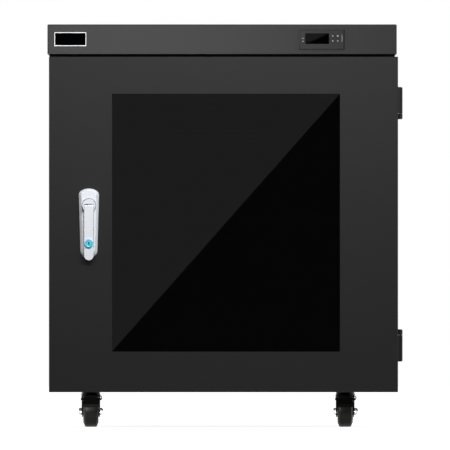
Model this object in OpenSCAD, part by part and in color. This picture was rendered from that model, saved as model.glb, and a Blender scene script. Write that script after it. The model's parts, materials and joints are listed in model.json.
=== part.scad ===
// Steel drying cabinet for filament spools: control head on top, glass door with a swing handle,
// two loose shelves, a dryer unit on the back wall and four swivel casters.

/* [Carcass] */
// Width of the steel carcass
cab_w = 592; // [520:1:680]
// Depth of the carcass, from the front frame to the outside of the back panel
cab_d = 475; // [420:1:560]
// Height of the carcass, without the control head and the casters
cab_h = 573.3; // [540:0.1:640]
// Thickness of the carcass sheet
sheet = 1.5; // [1.2:0.1:2]
// Width of the frame face that the door closes against
frame_w = 28; // [24:1:32]
// Depth of the return lip behind the frame face
frame_lip = 13.5; // [10:0.5:18]
// Height of the top rail
rail_h = 32; // [26:1:40]
// Height of the bottom sill
sill_h = 32; // [26:1:40]
// Width of the rear flanges that carry the back panel
rear_flange = 20; // [16:1:26]
// Height of the turned edges of the floor and ceiling pans
pan_edge = 15; // [10:1:20]

/* [Control head] */
// Width of the control head
head_w = 598.4; // [526:0.1:688]
// Height of the control head
head_h = 50.7; // [46:0.1:70]
// Thickness of the head's sheet
head_sheet = 1.5; // [1:0.1:2]
// Radius of the head's bent edges
head_r = 2.4; // [1:0.1:4]
// Width of the lips that the head stands on
head_lip = 16; // [10:1:24]

/* [Controller] */
// Width of the controller's front frame
ctrl_w = 76.8; // [70:0.1:90]
// Height of the controller's front frame
ctrl_h = 34.8; // [33:0.1:40]
// Thickness of the controller's front frame
ctrl_t = 3.5; // [2.5:0.1:5]
// Depth of the controller's case behind the panel
ctrl_depth = 58; // [40:1:80]
// Distance from the head's right edge to the controller's middle
ctrl_inset = 129; // [60:1:220]
// Width of the display window
lens_w = 40.6; // [30:0.1:42]
// Height of the display window
lens_h = 18.1; // [12:0.1:20]
// Diameter of a controller button
button_d = 6.5; // [5:0.1:7]
// Distance between neighbouring buttons
button_pitch = 8.5; // [8.2:0.1:9.5]
// Travel of a button
button_travel = 0.8; // [0.4:0.1:1.2]

/* [Badge plate] */
// Width of the bare plate on the head
badge_w = 56.5; // [40:0.5:70]
// Height of the bare plate on the head
badge_h = 24.8; // [18:0.1:30]
// Distance from the head's left edge to the plate's middle
badge_inset = 40; // [36:1:80]

/* [Door] */
// Thickness of the door
door_t = 24; // [20:0.5:30]
// Thickness of the door's sheet
door_sheet = 1.5; // [1:0.1:2]
// Radius of the door's bent front edges
door_r = 2; // [1:0.1:3]
// Gap between the door and the frame, which the door seal fills
seal_gap = 4; // [3:0.1:6]
// Gap between the door's top edge and the control head
head_gap = 4.6; // [3:0.1:8]
// How far the door reaches below the carcass
door_drop = 6.1; // [0:0.1:10]
// How far the door reaches past the carcass on the lock side
lock_over = 0.6; // [0:0.1:3]
// How far the door reaches past the carcass on the hinge side
hinge_over = 5.4; // [3:0.1:6]
// Width of the door stile on the lock side of the window
win_left = 108; // [100:0.5:130]
// Width of the door stile on the hinge side of the window
win_right = 99.5; // [70:0.5:120]
// Height of the door's face above the window
win_top = 63.5; // [50:0.5:100]
// Height of the door's face below the window
win_bottom = 69.5; // [50:0.5:100]
// Thickness of the window glass
glass_t = 4; // [3:0.5:6]
// How far the glass laps behind the door's face
glass_lap = 12; // [8:1:14]
// Width of the door seal
seal_w = 12; // [8:1:14]

/* [Hinges] */
// Radius of the hinge barrel
barrel_r = 3.9; // [3.4:0.1:4.5]
// Radius of the hinge pin
hinge_pin_r = 2; // [1.5:0.1:2.2]
// Length of the whole hinge
hinge_len = 55.2; // [44:0.1:70]
// Length of the knuckle that the frame carries
knuckle_len = 9.4; // [8:0.1:14]
// Distance from the door's top edge to the upper hinge
upper_hinge_drop = 52; // [20:0.5:120]
// Distance from the door's bottom edge to the lower hinge
lower_hinge_rise = 52.5; // [20:0.5:120]

/* [Swing handle] */
// Distance from the door's lock edge to the handle's centre line
lock_inset = 68.5; // [62:0.5:78]
// Height of the handle's turning axis above the door's bottom edge
lock_rise = 319.6; // [180:0.1:420]
// Width of the handle's dish near its top
dish_w = 34.8; // [32:0.1:40]
// Width of the handle's dish near its bottom
dish_low_w = 29; // [26:0.1:34]
// Height of the dish above its turning axis
dish_up = 29.2; // [26:0.1:36]
// Length of the dish below its turning axis
dish_down = 88; // [80:1:110]
// Height of the dish off the door's face
dish_h = 10; // [8:0.5:14]
// Diameter of the round boss that turns
boss_d = 22.8; // [22.4:0.1:26]
// Height of the boss
boss_h = 8; // [7:0.5:10]
// Width of the lever
lever_w = 16; // [15.5:0.1:18]
// Length of the lever, from its pivot to its tip
lever_len = 92.8; // [84:0.1:116]
// Thickness of the lever at its pivot
lever_t = 5.5; // [4.5:0.1:6]
// Diameter of the lock's coloured sleeve
sleeve_d = 14; // [12:0.1:14.4]
// Diameter of the lock core
core_d = 9; // [8:0.1:10]
// Distance from the lever's tip to the lock core
core_rise = 28.8; // [20:0.1:40]
// Diameter of the spindle
spindle_d = 12; // [10:0.5:14]
// Length of the latch tongue, from the spindle's axis
tongue_len = 57; // [50:1:62]

/* [Shelves] */
// Height of a shelf's turned edges
shelf_edge = 18; // [12:1:24]
// Thickness of the shelf sheet
shelf_sheet = 1.2; // [1:0.1:2]
// Distance between the slots of an upright
slot_pitch = 25; // [20:1:40]
// Slot, counted from the bottom, that holds the lower shelf
lower_slot = 0; // [0:1:2]
// Slot, counted from the bottom, that holds the upper shelf
upper_slot = 10; // [8:1:12]

/* [Dryer unit] */
// Width of the dryer's case
dryer_w = 220; // [160:1:280]
// Height of the dryer's case
dryer_h = 120; // [90:1:140]
// Depth of the dryer's case
dryer_d = 62; // [50:1:80]

/* [Casters] */
// Height of a caster, which carries the carcass
caster_h = 66; // [65:0.5:80]
// Diameter of a wheel
wheel_d = 50; // [44:0.5:50]
// Width of a wheel
wheel_w = 26.4; // [20:0.1:27]
// Distance from the swivel axis back to the axle
trail = 22; // [20:0.5:26]
// Thickness of the fork's sheet
fork_t = 1.8; // [1.5:0.1:3]
// Diameter of the axle
axle_d = 6; // [5:0.5:8]
// Diameter of the kingpin
kingpin_d = 8; // [6:0.5:10]
// Width and depth of the mounting plate
plate_w = 60; // [54:1:66]
// Distance between the plate's bolt holes, both ways
bolt_pitch = 45; // [40:0.5:46]
// Distance from the carcass's left side to the left casters
caster_left = 71; // [45:1:120]
// Distance from the carcass's right side to the right casters
caster_right = 85; // [45:1:120]
// Distance from the front frame, and from the back panel, to the casters
caster_inset = 56; // [52:1:90]
// How much further apart the rear casters stand than the front ones
rear_spread = 5.2; // [0:0.1:12]

/* [Hidden] */

$fn = 48;
e = 1;            // how far a cutter runs past the face that it opens
fit = 0.05;       // radial clearance of a shaft in its bore
run = 0.3;        // gap between pieces that move past each other
slip = 0.2;       // gap round a fixed piece that is dropped into a cut-out

steel_black = "#2b2b2d";
steel_grey = "#464648";
inside_grey = "#3a3b3d";
zinc = "#b9bcc0";
cast_silver = "#d9dadc";
plastic_black = "#1d1d1f";
rubber_black = "#151515";

// Carcass levels and faces. Y is 0 on the frame face, and the door lies in front of it, at minus Y.
cab_z0 = caster_h;
cab_z1 = cab_z0 + cab_h;
side_x = cab_w / 2;
inner_x = side_x - sheet;
back_y = cab_d - sheet;
frame_x = side_x - frame_w;
rail_z = cab_z1 - rail_h;
sill_z = cab_z0 + sill_h;
pan_y0 = frame_lip + run;
pan_y1 = back_y - sheet;
panel_gap = 1;
cable_hole_r = 12;

// Door
door_x0 = -side_x - lock_over;
door_x1 = side_x + hinge_over;
door_z0 = cab_z0 - door_drop;
door_z1 = cab_z1 - head_gap;
door_rear = -seal_gap;
door_front = door_rear - door_t;
win_x0 = door_x0 + win_left;
win_x1 = door_x1 - win_right;
win_z0 = door_z0 + win_bottom;
win_z1 = door_z1 - win_top;
door_flange = frame_w - 2;
window_seal_t = 1;
glass_y = door_front + door_sheet + window_seal_t;
retainer_t = 1.5;
retainer_flange = 12;
retainer_gap = 1;
retainer_reach = glass_lap + retainer_gap + retainer_t + retainer_flange;
gasket_in = (frame_w - seal_w) / 2;

// Head
head_front = door_front;
head_z1 = cab_z1 + head_h;
head_mid_z = cab_z1 + head_h / 2 - 0.5;
head_inner_r = max(head_r - head_sheet, 0.2);
head_slots = 5;
head_slot_x = 60;
head_slot_pitch = 14;
head_slot_w = 4;
head_slot_h = 20;

// Controller
ctrl_x = head_w / 2 - ctrl_inset;
ctrl_face = head_front - ctrl_t;
ctrl_lap = 3;
ctrl_case_w = ctrl_w - 2 * ctrl_lap;
ctrl_case_h = ctrl_h - 2 * ctrl_lap;
ctrl_r = 1.5;
ctrl_rim = 1.6;
ctrl_sink = 0.6;
terminal_inset = 4;
terminal_depth = 8;
terminal_z = [-8, 2];
lens_x = ctrl_x - 7.3;
lens_z = head_mid_z + 1.4;
lens_t = 1.8;
lens_sink = 0.2;
button_x = ctrl_x + 19.4;
button_z = head_mid_z + 1.6;
button_proud = 0.6;
button_flange = 0.6;
button_rim = 0.45;
pocket_depth = button_flange + button_travel + 2 * run;

// Badge plate
badge_x = -head_w / 2 + badge_inset;
badge_t = 1.4;
badge_r = 1.2;
badge_rim = 1.3;
badge_sink = 0.5;

// Hinges
pin_x = door_x1 + barrel_r;
pin_y = (door_front + door_rear) / 2;
upper_hinge_z = door_z1 - upper_hinge_drop;
lower_hinge_z = door_z0 + lower_hinge_rise;
block_y = 9;
block_step = 0.7;
block_cap = 4;
barrel_chamfer = 1.5;
block_len = hinge_len - knuckle_len - run;
upper_knuckle_z = upper_hinge_z - hinge_len;
upper_block_z = upper_hinge_z - block_len;
lower_knuckle_z = lower_hinge_z + hinge_len - knuckle_len;
block_screw_y = pin_y - 5.2;
block_screw_z = [for (z = [upper_block_z, lower_hinge_z], k = [0.25, 0.75]) z + k * block_len];
bracket_t = 2.2;
bracket_reach = 32;
bracket_h = 38;
bracket_y0 = run + 1.2;
bracket_screw_y = bracket_y0 + bracket_reach - 10;
bracket_clear = 0.5;
bracket_screw_rise = 12;
hinge_screw_z = [for (z = [upper_knuckle_z, lower_knuckle_z], s = [-1, 1])
    z + knuckle_len / 2 + s * bracket_screw_rise];
pin_grip = 34;

// Swing handle
lock_x = door_x0 + lock_inset;
lock_z = door_z0 + lock_rise;
dish_face = door_front - dish_h;
dish_crown = 11;
dish_wall = 3.5;
dish_bevel = 4.2;
dish_squash = 0.6;
dish_corner = [6.2, 6];
dish_screw_depth = 8;
boss_rear = dish_face - run;
boss_base = 2;
boss_front = boss_rear - boss_h;
knuckle_extra = 0.2;
knuckle_drop = 0.9;
lever_rear = boss_rear - boss_base - run - knuckle_extra;
lever_pin_y = lever_rear - lever_t / 2;
lever_pin_z = lock_z - 0.7;
lever_pin_r = 1.4;
lever_front = lever_rear - lever_t;
lever_swell = 3;
lever_low_front = lever_front - lever_swell;
lever_nose = [3, 5];
lever_foot = [1, 4];
lever_heel = 4;
lever_tip = lever_pin_z - lever_len;
core_z = lever_tip + core_rise;
core_front = lever_low_front - 0.2;
tongue_y = frame_lip + 0.7;
tongue_t = 3;
tongue_w = 16;
tongue_hub_r = 11;
square_w = 8;
square_start = 1;
bolt_r = 3;
bolt_len = 11;
washer_t = 1.2;
washer_r = 8;
nut_r = 5.8;
nut_h = 4;
core_sink = 0.5;
key_slot = [1.4, 3.5, 6];
sleeve_floor = 2;
sleeve_web = 1;
dish_screw_z = [lock_z + 19, lock_z - dish_down + 18];

// Shelves
upright_d = 10;
upright_w = 22;
upright_t = 1.2;
upright_gap = 1.5;
upright_z0 = cab_z0 + sheet + pan_edge + upright_gap;
upright_z1 = cab_z1 - sheet - pan_edge - upright_gap;
upright_y = [frame_lip + 45, cab_d - 75];
slot_first = 10;
slot_w = 10;
slot_h = 4;
slots = floor((upright_z1 - upright_z0 - 2 * slot_first) / slot_pitch);
clip_t = 2;
clip_w = 14;
clip_reach = 26;
clip_drop = 12;
clip_nose = 4;
clip_play = 0.5;
shelf_x = frame_x - 3.5;
shelf_y0 = frame_lip + 24;
shelf_y1 = cab_d - 45;
shelf_cols = 9;
shelf_rows = 5;
shelf_rim = [20, 25];
shelf_slot_w = 10;
shelf_slot_share = 0.72;

// Dryer
dryer_y = back_y - dryer_d;
dryer_z0 = rail_z - dryer_h - 2;
dryer_wall = 2.5;
dryer_ear = [16, 3, 30];
vents = 7;
vent_w = 120;
vent_h = 5;
dryer_vent_h = 4;
vent_margin = 20;
grille_t = 3;
grille_r = 6;
grille_side = 16;
grille_margin = 15;
louvres = 9;
louvre_open = 0.6;
louvre_out = 3;
louvre_t = 1.2;
pack_inset = 14;
pack_front = 22;
pack_pleats = 10;
pack_pleat = [8, 4];
pack_margin = [8, 12];
probe_x = dryer_w / 2 + 60;
probe_y = back_y - 40;
probe_r = 6;
probe_len = 26;
probe_flange = [4, 2.5];
probe_stub = 3;
probe_slot = [1.6, 12];
probe_slot_z = 10;

// Casters
plate_t = 2.5;
crown_z1 = wheel_d + 3.4;
crown_r = 16.8;
race_r = 16.2;
cup_r = 15;
race_t = 2;
leg_x = wheel_w / 2 + 0.8;
axle_z = wheel_d / 2;
tread_r = 2;
tread_in = [8, 5];
tread_narrow = [0, 1, 2.6];
hub_r = 8;
hub_proud = 0.5;
kingpin_head = 2.2;
kingpin_rim = 3;
plate_r = 5;
bolt_hole_r = 3.3;
bolt_shank_r = 3;
bolt_hex_r = 5.5;
bolt_head_h = 3.5;
bolt_nut_h = 5;
bolt_end = 8;
leg_top = 9;
leg_foot_r = 8.5;
pedal_web = [8, 6];
axle_hex_r = 5.2;
axle_head_h = 5;
axle_nut_h = 4.6;
axle_end = 6;
axle_point = 0.5;
pedal_t = 1.8;
pedal_pivot = [-trail - 17.5, axle_z + 23];
pedal_slope = 45;
pedal_len = 16;
pedal_toe = 4;
pedal_barrel_r = 3.3;
pedal_ear_r = 4;
pedal_x = leg_x - run;
pedal_pin_r = 1.7;
pin_head_r = 2.2;
pin_head_t = 1.4;
shoe_x = 9;
shoe_t = 3.4;
shoe_top = [3, 4];
shoe_foot = [2, 3];
caster_x = [-side_x + caster_left, side_x - caster_right];
rear_x = caster_x + rear_spread / 2 * [-1, 1];
caster_y = [caster_inset, cab_d - caster_inset];

// Screws
screw_r = 2;
screw_head_r = 4;
screw_head_h = 2.2;
screw_len = 9;
short_len = 4.5;
hole_r = screw_r + slip;
back_screw_x = side_x - rear_flange / 2;
back_screw_z = [for (i = [0:3]) cab_z0 + 30 + i * (cab_h - 60) / 3];
head_screw_y = [60, cab_d - 60];
head_screw_z = cab_z1 + 10;
dryer_screw_x = dryer_w / 2 + 8;
retainer_screw_out = glass_lap + retainer_gap + retainer_t + retainer_flange / 2;
retainer_screw_end = 40;
retainer_screw_count = 4;
stud_end = 1.5;
screw_cross = [5, 1, 1.6];

// Power inlet
inlet_x = -head_w / 2 + 90;
inlet_flange_t = 3;
inlet_flange = [48, 27];
inlet_flange_r = 3;
inlet_screw_r = 1.8;
inlet_screw_x = 20;
inlet_body_w = 28;
inlet_body_h = 21;
inlet_body_d = 20;
inlet_wall = 2;
inlet_open = [24, 16];
inlet_cut = 4;
inlet_pins = [[-7, -1], [0, 3], [7, -1]];
inlet_pin = [2, 4];
supply_size = [160, 98, 30];
supply_x = -150;
supply_gap = 47;
supply_wall = 8;
supply_terminal = [14, 12];
supply_vents = 8;
supply_vent = [6, 4];
supply_vent_pitch = 15;
supply_pole = [9, 10, 6];

// The origin is on the floor, under the middle of the whole object's box
centre_x = (pin_x + barrel_r - head_w / 2) / 2;
centre_y = (cab_d + inlet_flange_t + lever_low_front) / 2;

module place() translate([-centre_x, -centre_y, 0]) children();

// A box between its lowest and its highest corner
module box(a, b) translate(a) cube(b - a);

// Round bars along X, Y and Z
module rod_x(r, x0, x1, y, z) translate([x0, y, z]) rotate([0, 90, 0]) cylinder(r = r, h = x1 - x0);
module rod_y(r, x, y0, y1, z) translate([x, y0, z]) rotate([-90, 0, 0]) cylinder(r = r, h = y1 - y0);
module rod_z(r, x, y, z0, z1) translate([x, y, z0]) cylinder(r = r, h = z1 - z0);

// A flat shape drawn in X and Z, made solid from y0 to y1
module slab_y(y0, y1) translate([0, y1, 0]) rotate([90, 0, 0]) linear_extrude(y1 - y0) children();
// A flat shape drawn in Y and Z, made solid from x0 to x1
module slab_x(x0, x1) translate([x0, 0, 0]) rotate([90, 0, 90]) linear_extrude(x1 - x0) children();

// A rectangle from a to b with round corners
module soft_rect(a, b, r) {
    translate(a + [r, 0]) square(b - a - [2 * r, 0]);
    translate(a + [0, r]) square(b - a - [0, 2 * r]);
    for (x = [a[0] + r, b[0] - r], y = [a[1] + r, b[1] - r]) translate([x, y]) circle(r);
}

// A rectangular ring in the X-Z plane round an opening, w wide
module ring(a, b, w, y0, y1) {
    difference() {
        box([a[0] - w, y0, a[1] - w], [b[0] + w, y1, b[1] + w]);
        box([a[0], y0 - e, a[1]], [b[0], y1 + e, b[1]]);
    }
}

// A pan-head screw whose head rests on z = 0 and whose shank runs down
module screw() {
    cylinder(r = screw_r, h = screw_head_h / 2);
    translate([0, 0, -screw_len]) cylinder(r = screw_r, h = screw_len);
    difference() {
        cylinder(r = screw_head_r, h = screw_head_h);
        for (a = [0, 90]) translate([0, 0, screw_head_h]) rotate([0, 0, a]) cube(screw_cross, center = true);
    }
}

// ---- Carcass ----

module side_section() {
    polygon([
        [-side_x, 0], [-side_x, back_y], [-side_x + rear_flange, back_y],
        [-side_x + rear_flange, back_y - sheet], [-inner_x, back_y - sheet], [-inner_x, sheet],
        [-frame_x - sheet, sheet], [-frame_x - sheet, frame_lip], [-frame_x, frame_lip], [-frame_x, 0]
    ]);
}

module back_screw_holes() {
    for (s = [-1, 1], z = back_screw_z) rod_y(hole_r, s * back_screw_x, back_y - 3 * sheet, cab_d + e, z);
}

module hinge_screw_holes() {
    for (z = hinge_screw_z) rod_x(hole_r, inner_x - e, side_x + e, bracket_screw_y, z);
}

module left_side() place() color(steel_black) difference() {
    translate([0, 0, cab_z0]) linear_extrude(cab_h) side_section();
    back_screw_holes();
}

module right_side() place() color(steel_black) difference() {
    translate([0, 0, cab_z0]) linear_extrude(cab_h) mirror([1, 0]) side_section();
    back_screw_holes();
    hinge_screw_holes();
}

// A flat pan between the sides, its side edges turned by pan_edge
module pan_section() {
    polygon([
        [-inner_x, 0], [inner_x, 0], [inner_x, pan_edge], [inner_x - sheet, pan_edge],
        [inner_x - sheet, sheet], [-inner_x + sheet, sheet], [-inner_x + sheet, pan_edge], [-inner_x, pan_edge]
    ]);
}

module floor_pan() place() color(inside_grey) difference() {
    translate([0, 0, cab_z0]) {
        slab_y(pan_y0, pan_y1) pan_section();
        box([-frame_x, sheet, 0], [frame_x, pan_y0, sheet]);
    }
    for (i = [0, 1], j = [0, 1]) caster_bolt_holes(corner_x(i, j), caster_y[j]);
}

module ceiling_pan() place() color(inside_grey) difference() {
    translate([0, 0, cab_z1]) {
        slab_y(pan_y0, pan_y1) mirror([0, 1]) pan_section();
        box([-frame_x, sheet, -sheet], [frame_x, pan_y0, 0]);
    }
    rod_z(cable_hole_r, 0, dryer_y + dryer_d / 2, cab_z1 - 2 * sheet, cab_z1 + e);
    rod_z(probe_r, probe_x, probe_y, cab_z1 - 2 * sheet, cab_z1 + e);
}

module back_panel() place() color(steel_black) difference() {
    box([-side_x + panel_gap, back_y, cab_z0 + panel_gap], [side_x - panel_gap, cab_d, cab_z1 - panel_gap]);
    back_screw_holes();
    for (i = [0:vents - 1]) vent_slot(vent_z(i));
    for (s = [-1, 1]) rod_y(hole_r, s * dryer_screw_x, back_y - e, cab_d + e, dryer_z0 + dryer_h / 2);
}

function vent_z(i) = dryer_z0 + vent_margin + i * (dryer_h - 2 * vent_margin) / (vents - 1);

module vent_slot(z) slab_y(back_y - e, cab_d + e)
    soft_rect([-vent_w / 2, z - vent_h / 2], [vent_w / 2, z + vent_h / 2], vent_h / 2 - 0.01);

// An angle whose face closes the frame and whose lip turns back into the cabinet
module frame_angle(face) {
    polygon([[0, 0], [frame_lip, 0], [frame_lip, sheet], [sheet, sheet], [sheet, face], [0, face]]);
}

module top_rail() place() color(steel_black)
    translate([0, 0, rail_z]) slab_x(-frame_x, frame_x) frame_angle(rail_h);

module bottom_sill() place() color(steel_black)
    translate([0, 0, sill_z]) slab_x(-frame_x, frame_x) mirror([0, 1]) frame_angle(sill_h);

// ---- Control head ----

module head_form(inset, r) {
    w = head_w / 2 - inset;
    y0 = head_front + inset;
    y1 = cab_d - inset;
    z1 = head_z1 - inset;
    intersection() {
        translate([0, 0, cab_z1]) linear_extrude(head_h) soft_rect([-w, y0], [w, y1], r);
        slab_y(y0 - e, y1 + e) soft_rect([-w, cab_z1 - 3 * r], [w, z1], r);
        slab_x(-w - e, w + e) soft_rect([y0, cab_z1 - 3 * r], [y1, z1], r);
    }
}

module control_head() place() color(steel_grey) difference() {
    head_form(0, head_r);
    difference() {
        head_form(head_sheet, head_inner_r);
        difference() {
            box([-head_w, head_front, cab_z1 - e], [head_w, cab_d, cab_z1 + head_sheet]);
            box([-head_w / 2 + head_lip, head_front + head_lip, cab_z1 - 2 * e],
                [head_w / 2 - head_lip, cab_d - head_lip, cab_z1 + head_sheet + e]);
        }
    }
    box([-head_w / 2 + head_lip, head_front + head_lip, cab_z1 - e],
        [head_w / 2 - head_lip, cab_d - head_lip, cab_z1 + head_sheet + e]);
    box([ctrl_x - ctrl_case_w / 2 - slip, head_front - e, head_mid_z - ctrl_case_h / 2 - slip],
        [ctrl_x + ctrl_case_w / 2 + slip, head_front + 2 * head_sheet, head_mid_z + ctrl_case_h / 2 + slip]);
    box([inlet_x - inlet_body_w / 2 - slip, cab_d - 2 * head_sheet, head_mid_z - inlet_body_h / 2 - slip],
        [inlet_x + inlet_body_w / 2 + slip, cab_d + e, head_mid_z + inlet_body_h / 2 + slip]);
    for (s = [-1, 1], i = [0:head_slots - 1]) head_slot(s, i);
}

// A cooling slot in the rear wall of the head
module head_slot(s, i) slab_y(cab_d - 2 * head_sheet, cab_d + e)
    translate([s * (head_slot_x + i * head_slot_pitch), head_mid_z])
        soft_rect([-head_slot_w, -head_slot_h] / 2, [head_slot_w, head_slot_h] / 2, head_slot_w / 2 - 0.01);

module controller_body() place() color(plastic_black) difference() {
    box([ctrl_x - ctrl_case_w / 2, head_front, head_mid_z - ctrl_case_h / 2],
        [ctrl_x + ctrl_case_w / 2, head_front + ctrl_depth, head_mid_z + ctrl_case_h / 2]);
    for (x = [0, 1], z = [0, 1]) rod_y(button_d / 2 + button_rim + run, button_col(x),
        head_front - e, head_front + pocket_depth, button_row(z));
    box([ctrl_x - ctrl_case_w / 2 + terminal_inset, head_front + ctrl_depth - terminal_depth,
        head_mid_z + terminal_z[0]],
        [ctrl_x + ctrl_case_w / 2 - terminal_inset, head_front + ctrl_depth + e, head_mid_z + terminal_z[1]]);
}

function button_col(i) = button_x + i * button_pitch;
function button_row(i) = button_z + (i - 0.5) * button_pitch;

module controller_bezel() place() color(plastic_black) difference() {
    slab_y(ctrl_face, head_front) soft_rect([ctrl_x - ctrl_w / 2, head_mid_z - ctrl_h / 2],
        [ctrl_x + ctrl_w / 2, head_mid_z + ctrl_h / 2], ctrl_r);
    slab_y(ctrl_face - e, ctrl_face + ctrl_sink)
        soft_rect([ctrl_x - ctrl_w / 2 + ctrl_rim, head_mid_z - ctrl_h / 2 + ctrl_rim],
            [ctrl_x + ctrl_w / 2 - ctrl_rim, head_mid_z + ctrl_h / 2 - ctrl_rim], ctrl_r - 0.5);
    box([lens_x - lens_w / 2 - slip, ctrl_face, lens_z - lens_h / 2 - slip],
        [lens_x + lens_w / 2 + slip, ctrl_face + lens_sink + lens_t, lens_z + lens_h / 2 + slip]);
    for (x = [0, 1], z = [0, 1])
        rod_y(button_d / 2 + fit, button_col(x), ctrl_face - e, head_front + e, button_row(z));
}

module display_lens() place() color("#050506")
    box([lens_x - lens_w / 2, ctrl_face + lens_sink, lens_z - lens_h / 2],
        [lens_x + lens_w / 2, ctrl_face + lens_sink + lens_t, lens_z + lens_h / 2]);

// A button: a round cap that passes the bezel, and a flange that keeps it in its pocket
module button(col, row) {
    x = button_col(col);
    z = button_row(row);
    rod_y(button_d / 2, x, ctrl_face - button_proud + ctrl_sink, head_front + fit, z);
    rod_y(button_d / 2 + button_rim, x, head_front + fit, head_front + fit + button_flange, z);
}

module button_low_left() place() color("#2c2c2f") button(0, 0);
module button_low_right() place() color("#2c2c2f") button(1, 0);
module button_top_left() place() color("#2c2c2f") button(0, 1);
module button_top_right() place() color("#2c2c2f") button(1, 1);

module badge_plate() place() color(cast_silver) translate([badge_x, 0, head_mid_z]) difference() {
    outer = [badge_w, badge_h] / 2;
    field = outer - [badge_rim, badge_rim];
    slab_y(head_front - badge_t, head_front) soft_rect(-outer, outer, badge_r);
    slab_y(head_front - badge_t - e, head_front - badge_t + badge_sink) translate(-field) square(2 * field);
}

// ---- Power ----

module power_inlet() place() color(plastic_black) {
    difference() {
        union() {
            slab_y(cab_d, cab_d + inlet_flange_t)
                translate([inlet_x, head_mid_z])
                    soft_rect(-inlet_flange / 2, inlet_flange / 2, inlet_flange_r);
            box([inlet_x - inlet_body_w / 2, cab_d - inlet_body_d, head_mid_z - inlet_body_h / 2],
                [inlet_x + inlet_body_w / 2, cab_d, head_mid_z + inlet_body_h / 2]);
        }
        slab_y(cab_d - inlet_body_d + inlet_wall, cab_d + inlet_flange_t + e) inlet_mouth();
        for (s = [-1, 1]) translate([inlet_x + s * inlet_screw_x, 0, 0])
            rod_y(inlet_screw_r, 0, cab_d - e, cab_d + inlet_flange_t + e, head_mid_z);
    }
    for (p = inlet_pins) slab_y(cab_d - inlet_body_d + inlet_wall - 0.5, cab_d - 1)
        translate([inlet_x + p[0], head_mid_z + p[1]]) square(inlet_pin, center = true);
}

// The inlet's mouth, with its two upper corners cut off
module inlet_mouth() {
    x = inlet_open[0] / 2;
    z = inlet_open[1] / 2;
    translate([inlet_x, head_mid_z]) polygon([
        [-x, -z], [x, -z], [x, z - inlet_cut], [x - inlet_cut, z], [inlet_cut - x, z], [-x, z - inlet_cut]
    ]);
}

// A closed power supply on the ceiling, with an open terminal step at its left end
module power_supply() place() color(zinc) translate([supply_x, cab_d - supply_gap - supply_size[1], cab_z1]) {
    inner = supply_size[1] - 2 * supply_wall;
    pole_pitch = inner / 5.4;
    vent_z = supply_size[2] - supply_vent[1];
    difference() {
        cube(supply_size);
        translate([-e, supply_wall, supply_terminal[1]]) cube([supply_terminal[0] + e, inner, supply_size[2]]);
        for (i = [0:supply_vents - 1])
            translate([2 * supply_terminal[0] + i * supply_vent_pitch, 1.5 * supply_wall, vent_z])
                cube([supply_vent[0], supply_size[1] - 3 * supply_wall, supply_vent[1] + e]);
    }
    for (i = [0:4])
        translate([2, supply_wall + (i + 0.35) * pole_pitch, supply_terminal[1]]) cube(supply_pole);
}

// ---- Shelves ----

module upright(y) {
    difference() {
        box([-inner_x, y - upright_w / 2, upright_z0], [-inner_x + upright_d, y + upright_w / 2, upright_z1]);
        box([-inner_x - e, y - upright_w / 2 + upright_t, upright_z0 - e],
            [-inner_x + upright_d - upright_t, y + upright_w / 2 - upright_t, upright_z1 + e]);
        for (k = [0:slots]) box([-inner_x, y - slot_w / 2, slot_z(k)],
            [-inner_x + upright_d + e, y + slot_w / 2, slot_z(k) + slot_h]);
    }
}
function slot_z(k) = upright_z0 + slot_first + k * slot_pitch;

module shelf_uprights() place() color(zinc) for (y = upright_y) {
    upright(y);
    mirror([1, 0, 0]) upright(y);
}

// A clip: its nose hooks through a slot, its face lies on the upright and its arm holds the shelf
module clip(y, k) {
    web_x = -inner_x + upright_d;
    arm_z = slot_z(k) + clip_t;
    box([web_x, y - clip_w / 2, arm_z - clip_t], [web_x + clip_reach, y + clip_w / 2, arm_z]);
    box([web_x - clip_nose, y - slot_w / 2 + clip_play, arm_z - clip_t + clip_play],
        [web_x, y + slot_w / 2 - clip_play, arm_z]);
    box([web_x, y - clip_w / 2, arm_z - clip_drop], [web_x + clip_t, y + clip_w / 2, arm_z]);
}

module shelf_clips() place() color(zinc) for (y = upright_y, k = [lower_slot, upper_slot]) {
    clip(y, k);
    mirror([1, 0, 0]) clip(y, k);
}

// A shelf: a pan turned down on all four sides, with rows of long air slots
module shelf(k) {
    z0 = slot_z(k) + clip_t;
    z1 = z0 + shelf_edge;
    at = [-shelf_x, shelf_y0] + shelf_rim;
    span = [2 * shelf_x, shelf_y1 - shelf_y0] - 2 * shelf_rim;
    pitch = [span[0] / shelf_cols, span[1] / shelf_rows];
    slot = [pitch[0] * shelf_slot_share, shelf_slot_w] / 2;
    difference() {
        box([-shelf_x, shelf_y0, z0], [shelf_x, shelf_y1, z1]);
        box([-shelf_x + shelf_sheet, shelf_y0 + shelf_sheet, z0 - e],
            [shelf_x - shelf_sheet, shelf_y1 - shelf_sheet, z1 - shelf_sheet]);
        for (i = [0:shelf_cols - 1], j = [0:shelf_rows - 1])
            translate([at[0] + (i + 0.5) * pitch[0], at[1] + (j + 0.5) * pitch[1], z1 - 2 * shelf_sheet])
                linear_extrude(4 * shelf_sheet) soft_rect(-slot, slot, slot[1] - 0.01);
    }
}

module upper_shelf() place() color(steel_grey) shelf(upper_slot);
module lower_shelf() place() color(steel_grey) shelf(lower_slot);

// ---- Dryer unit ----

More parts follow.
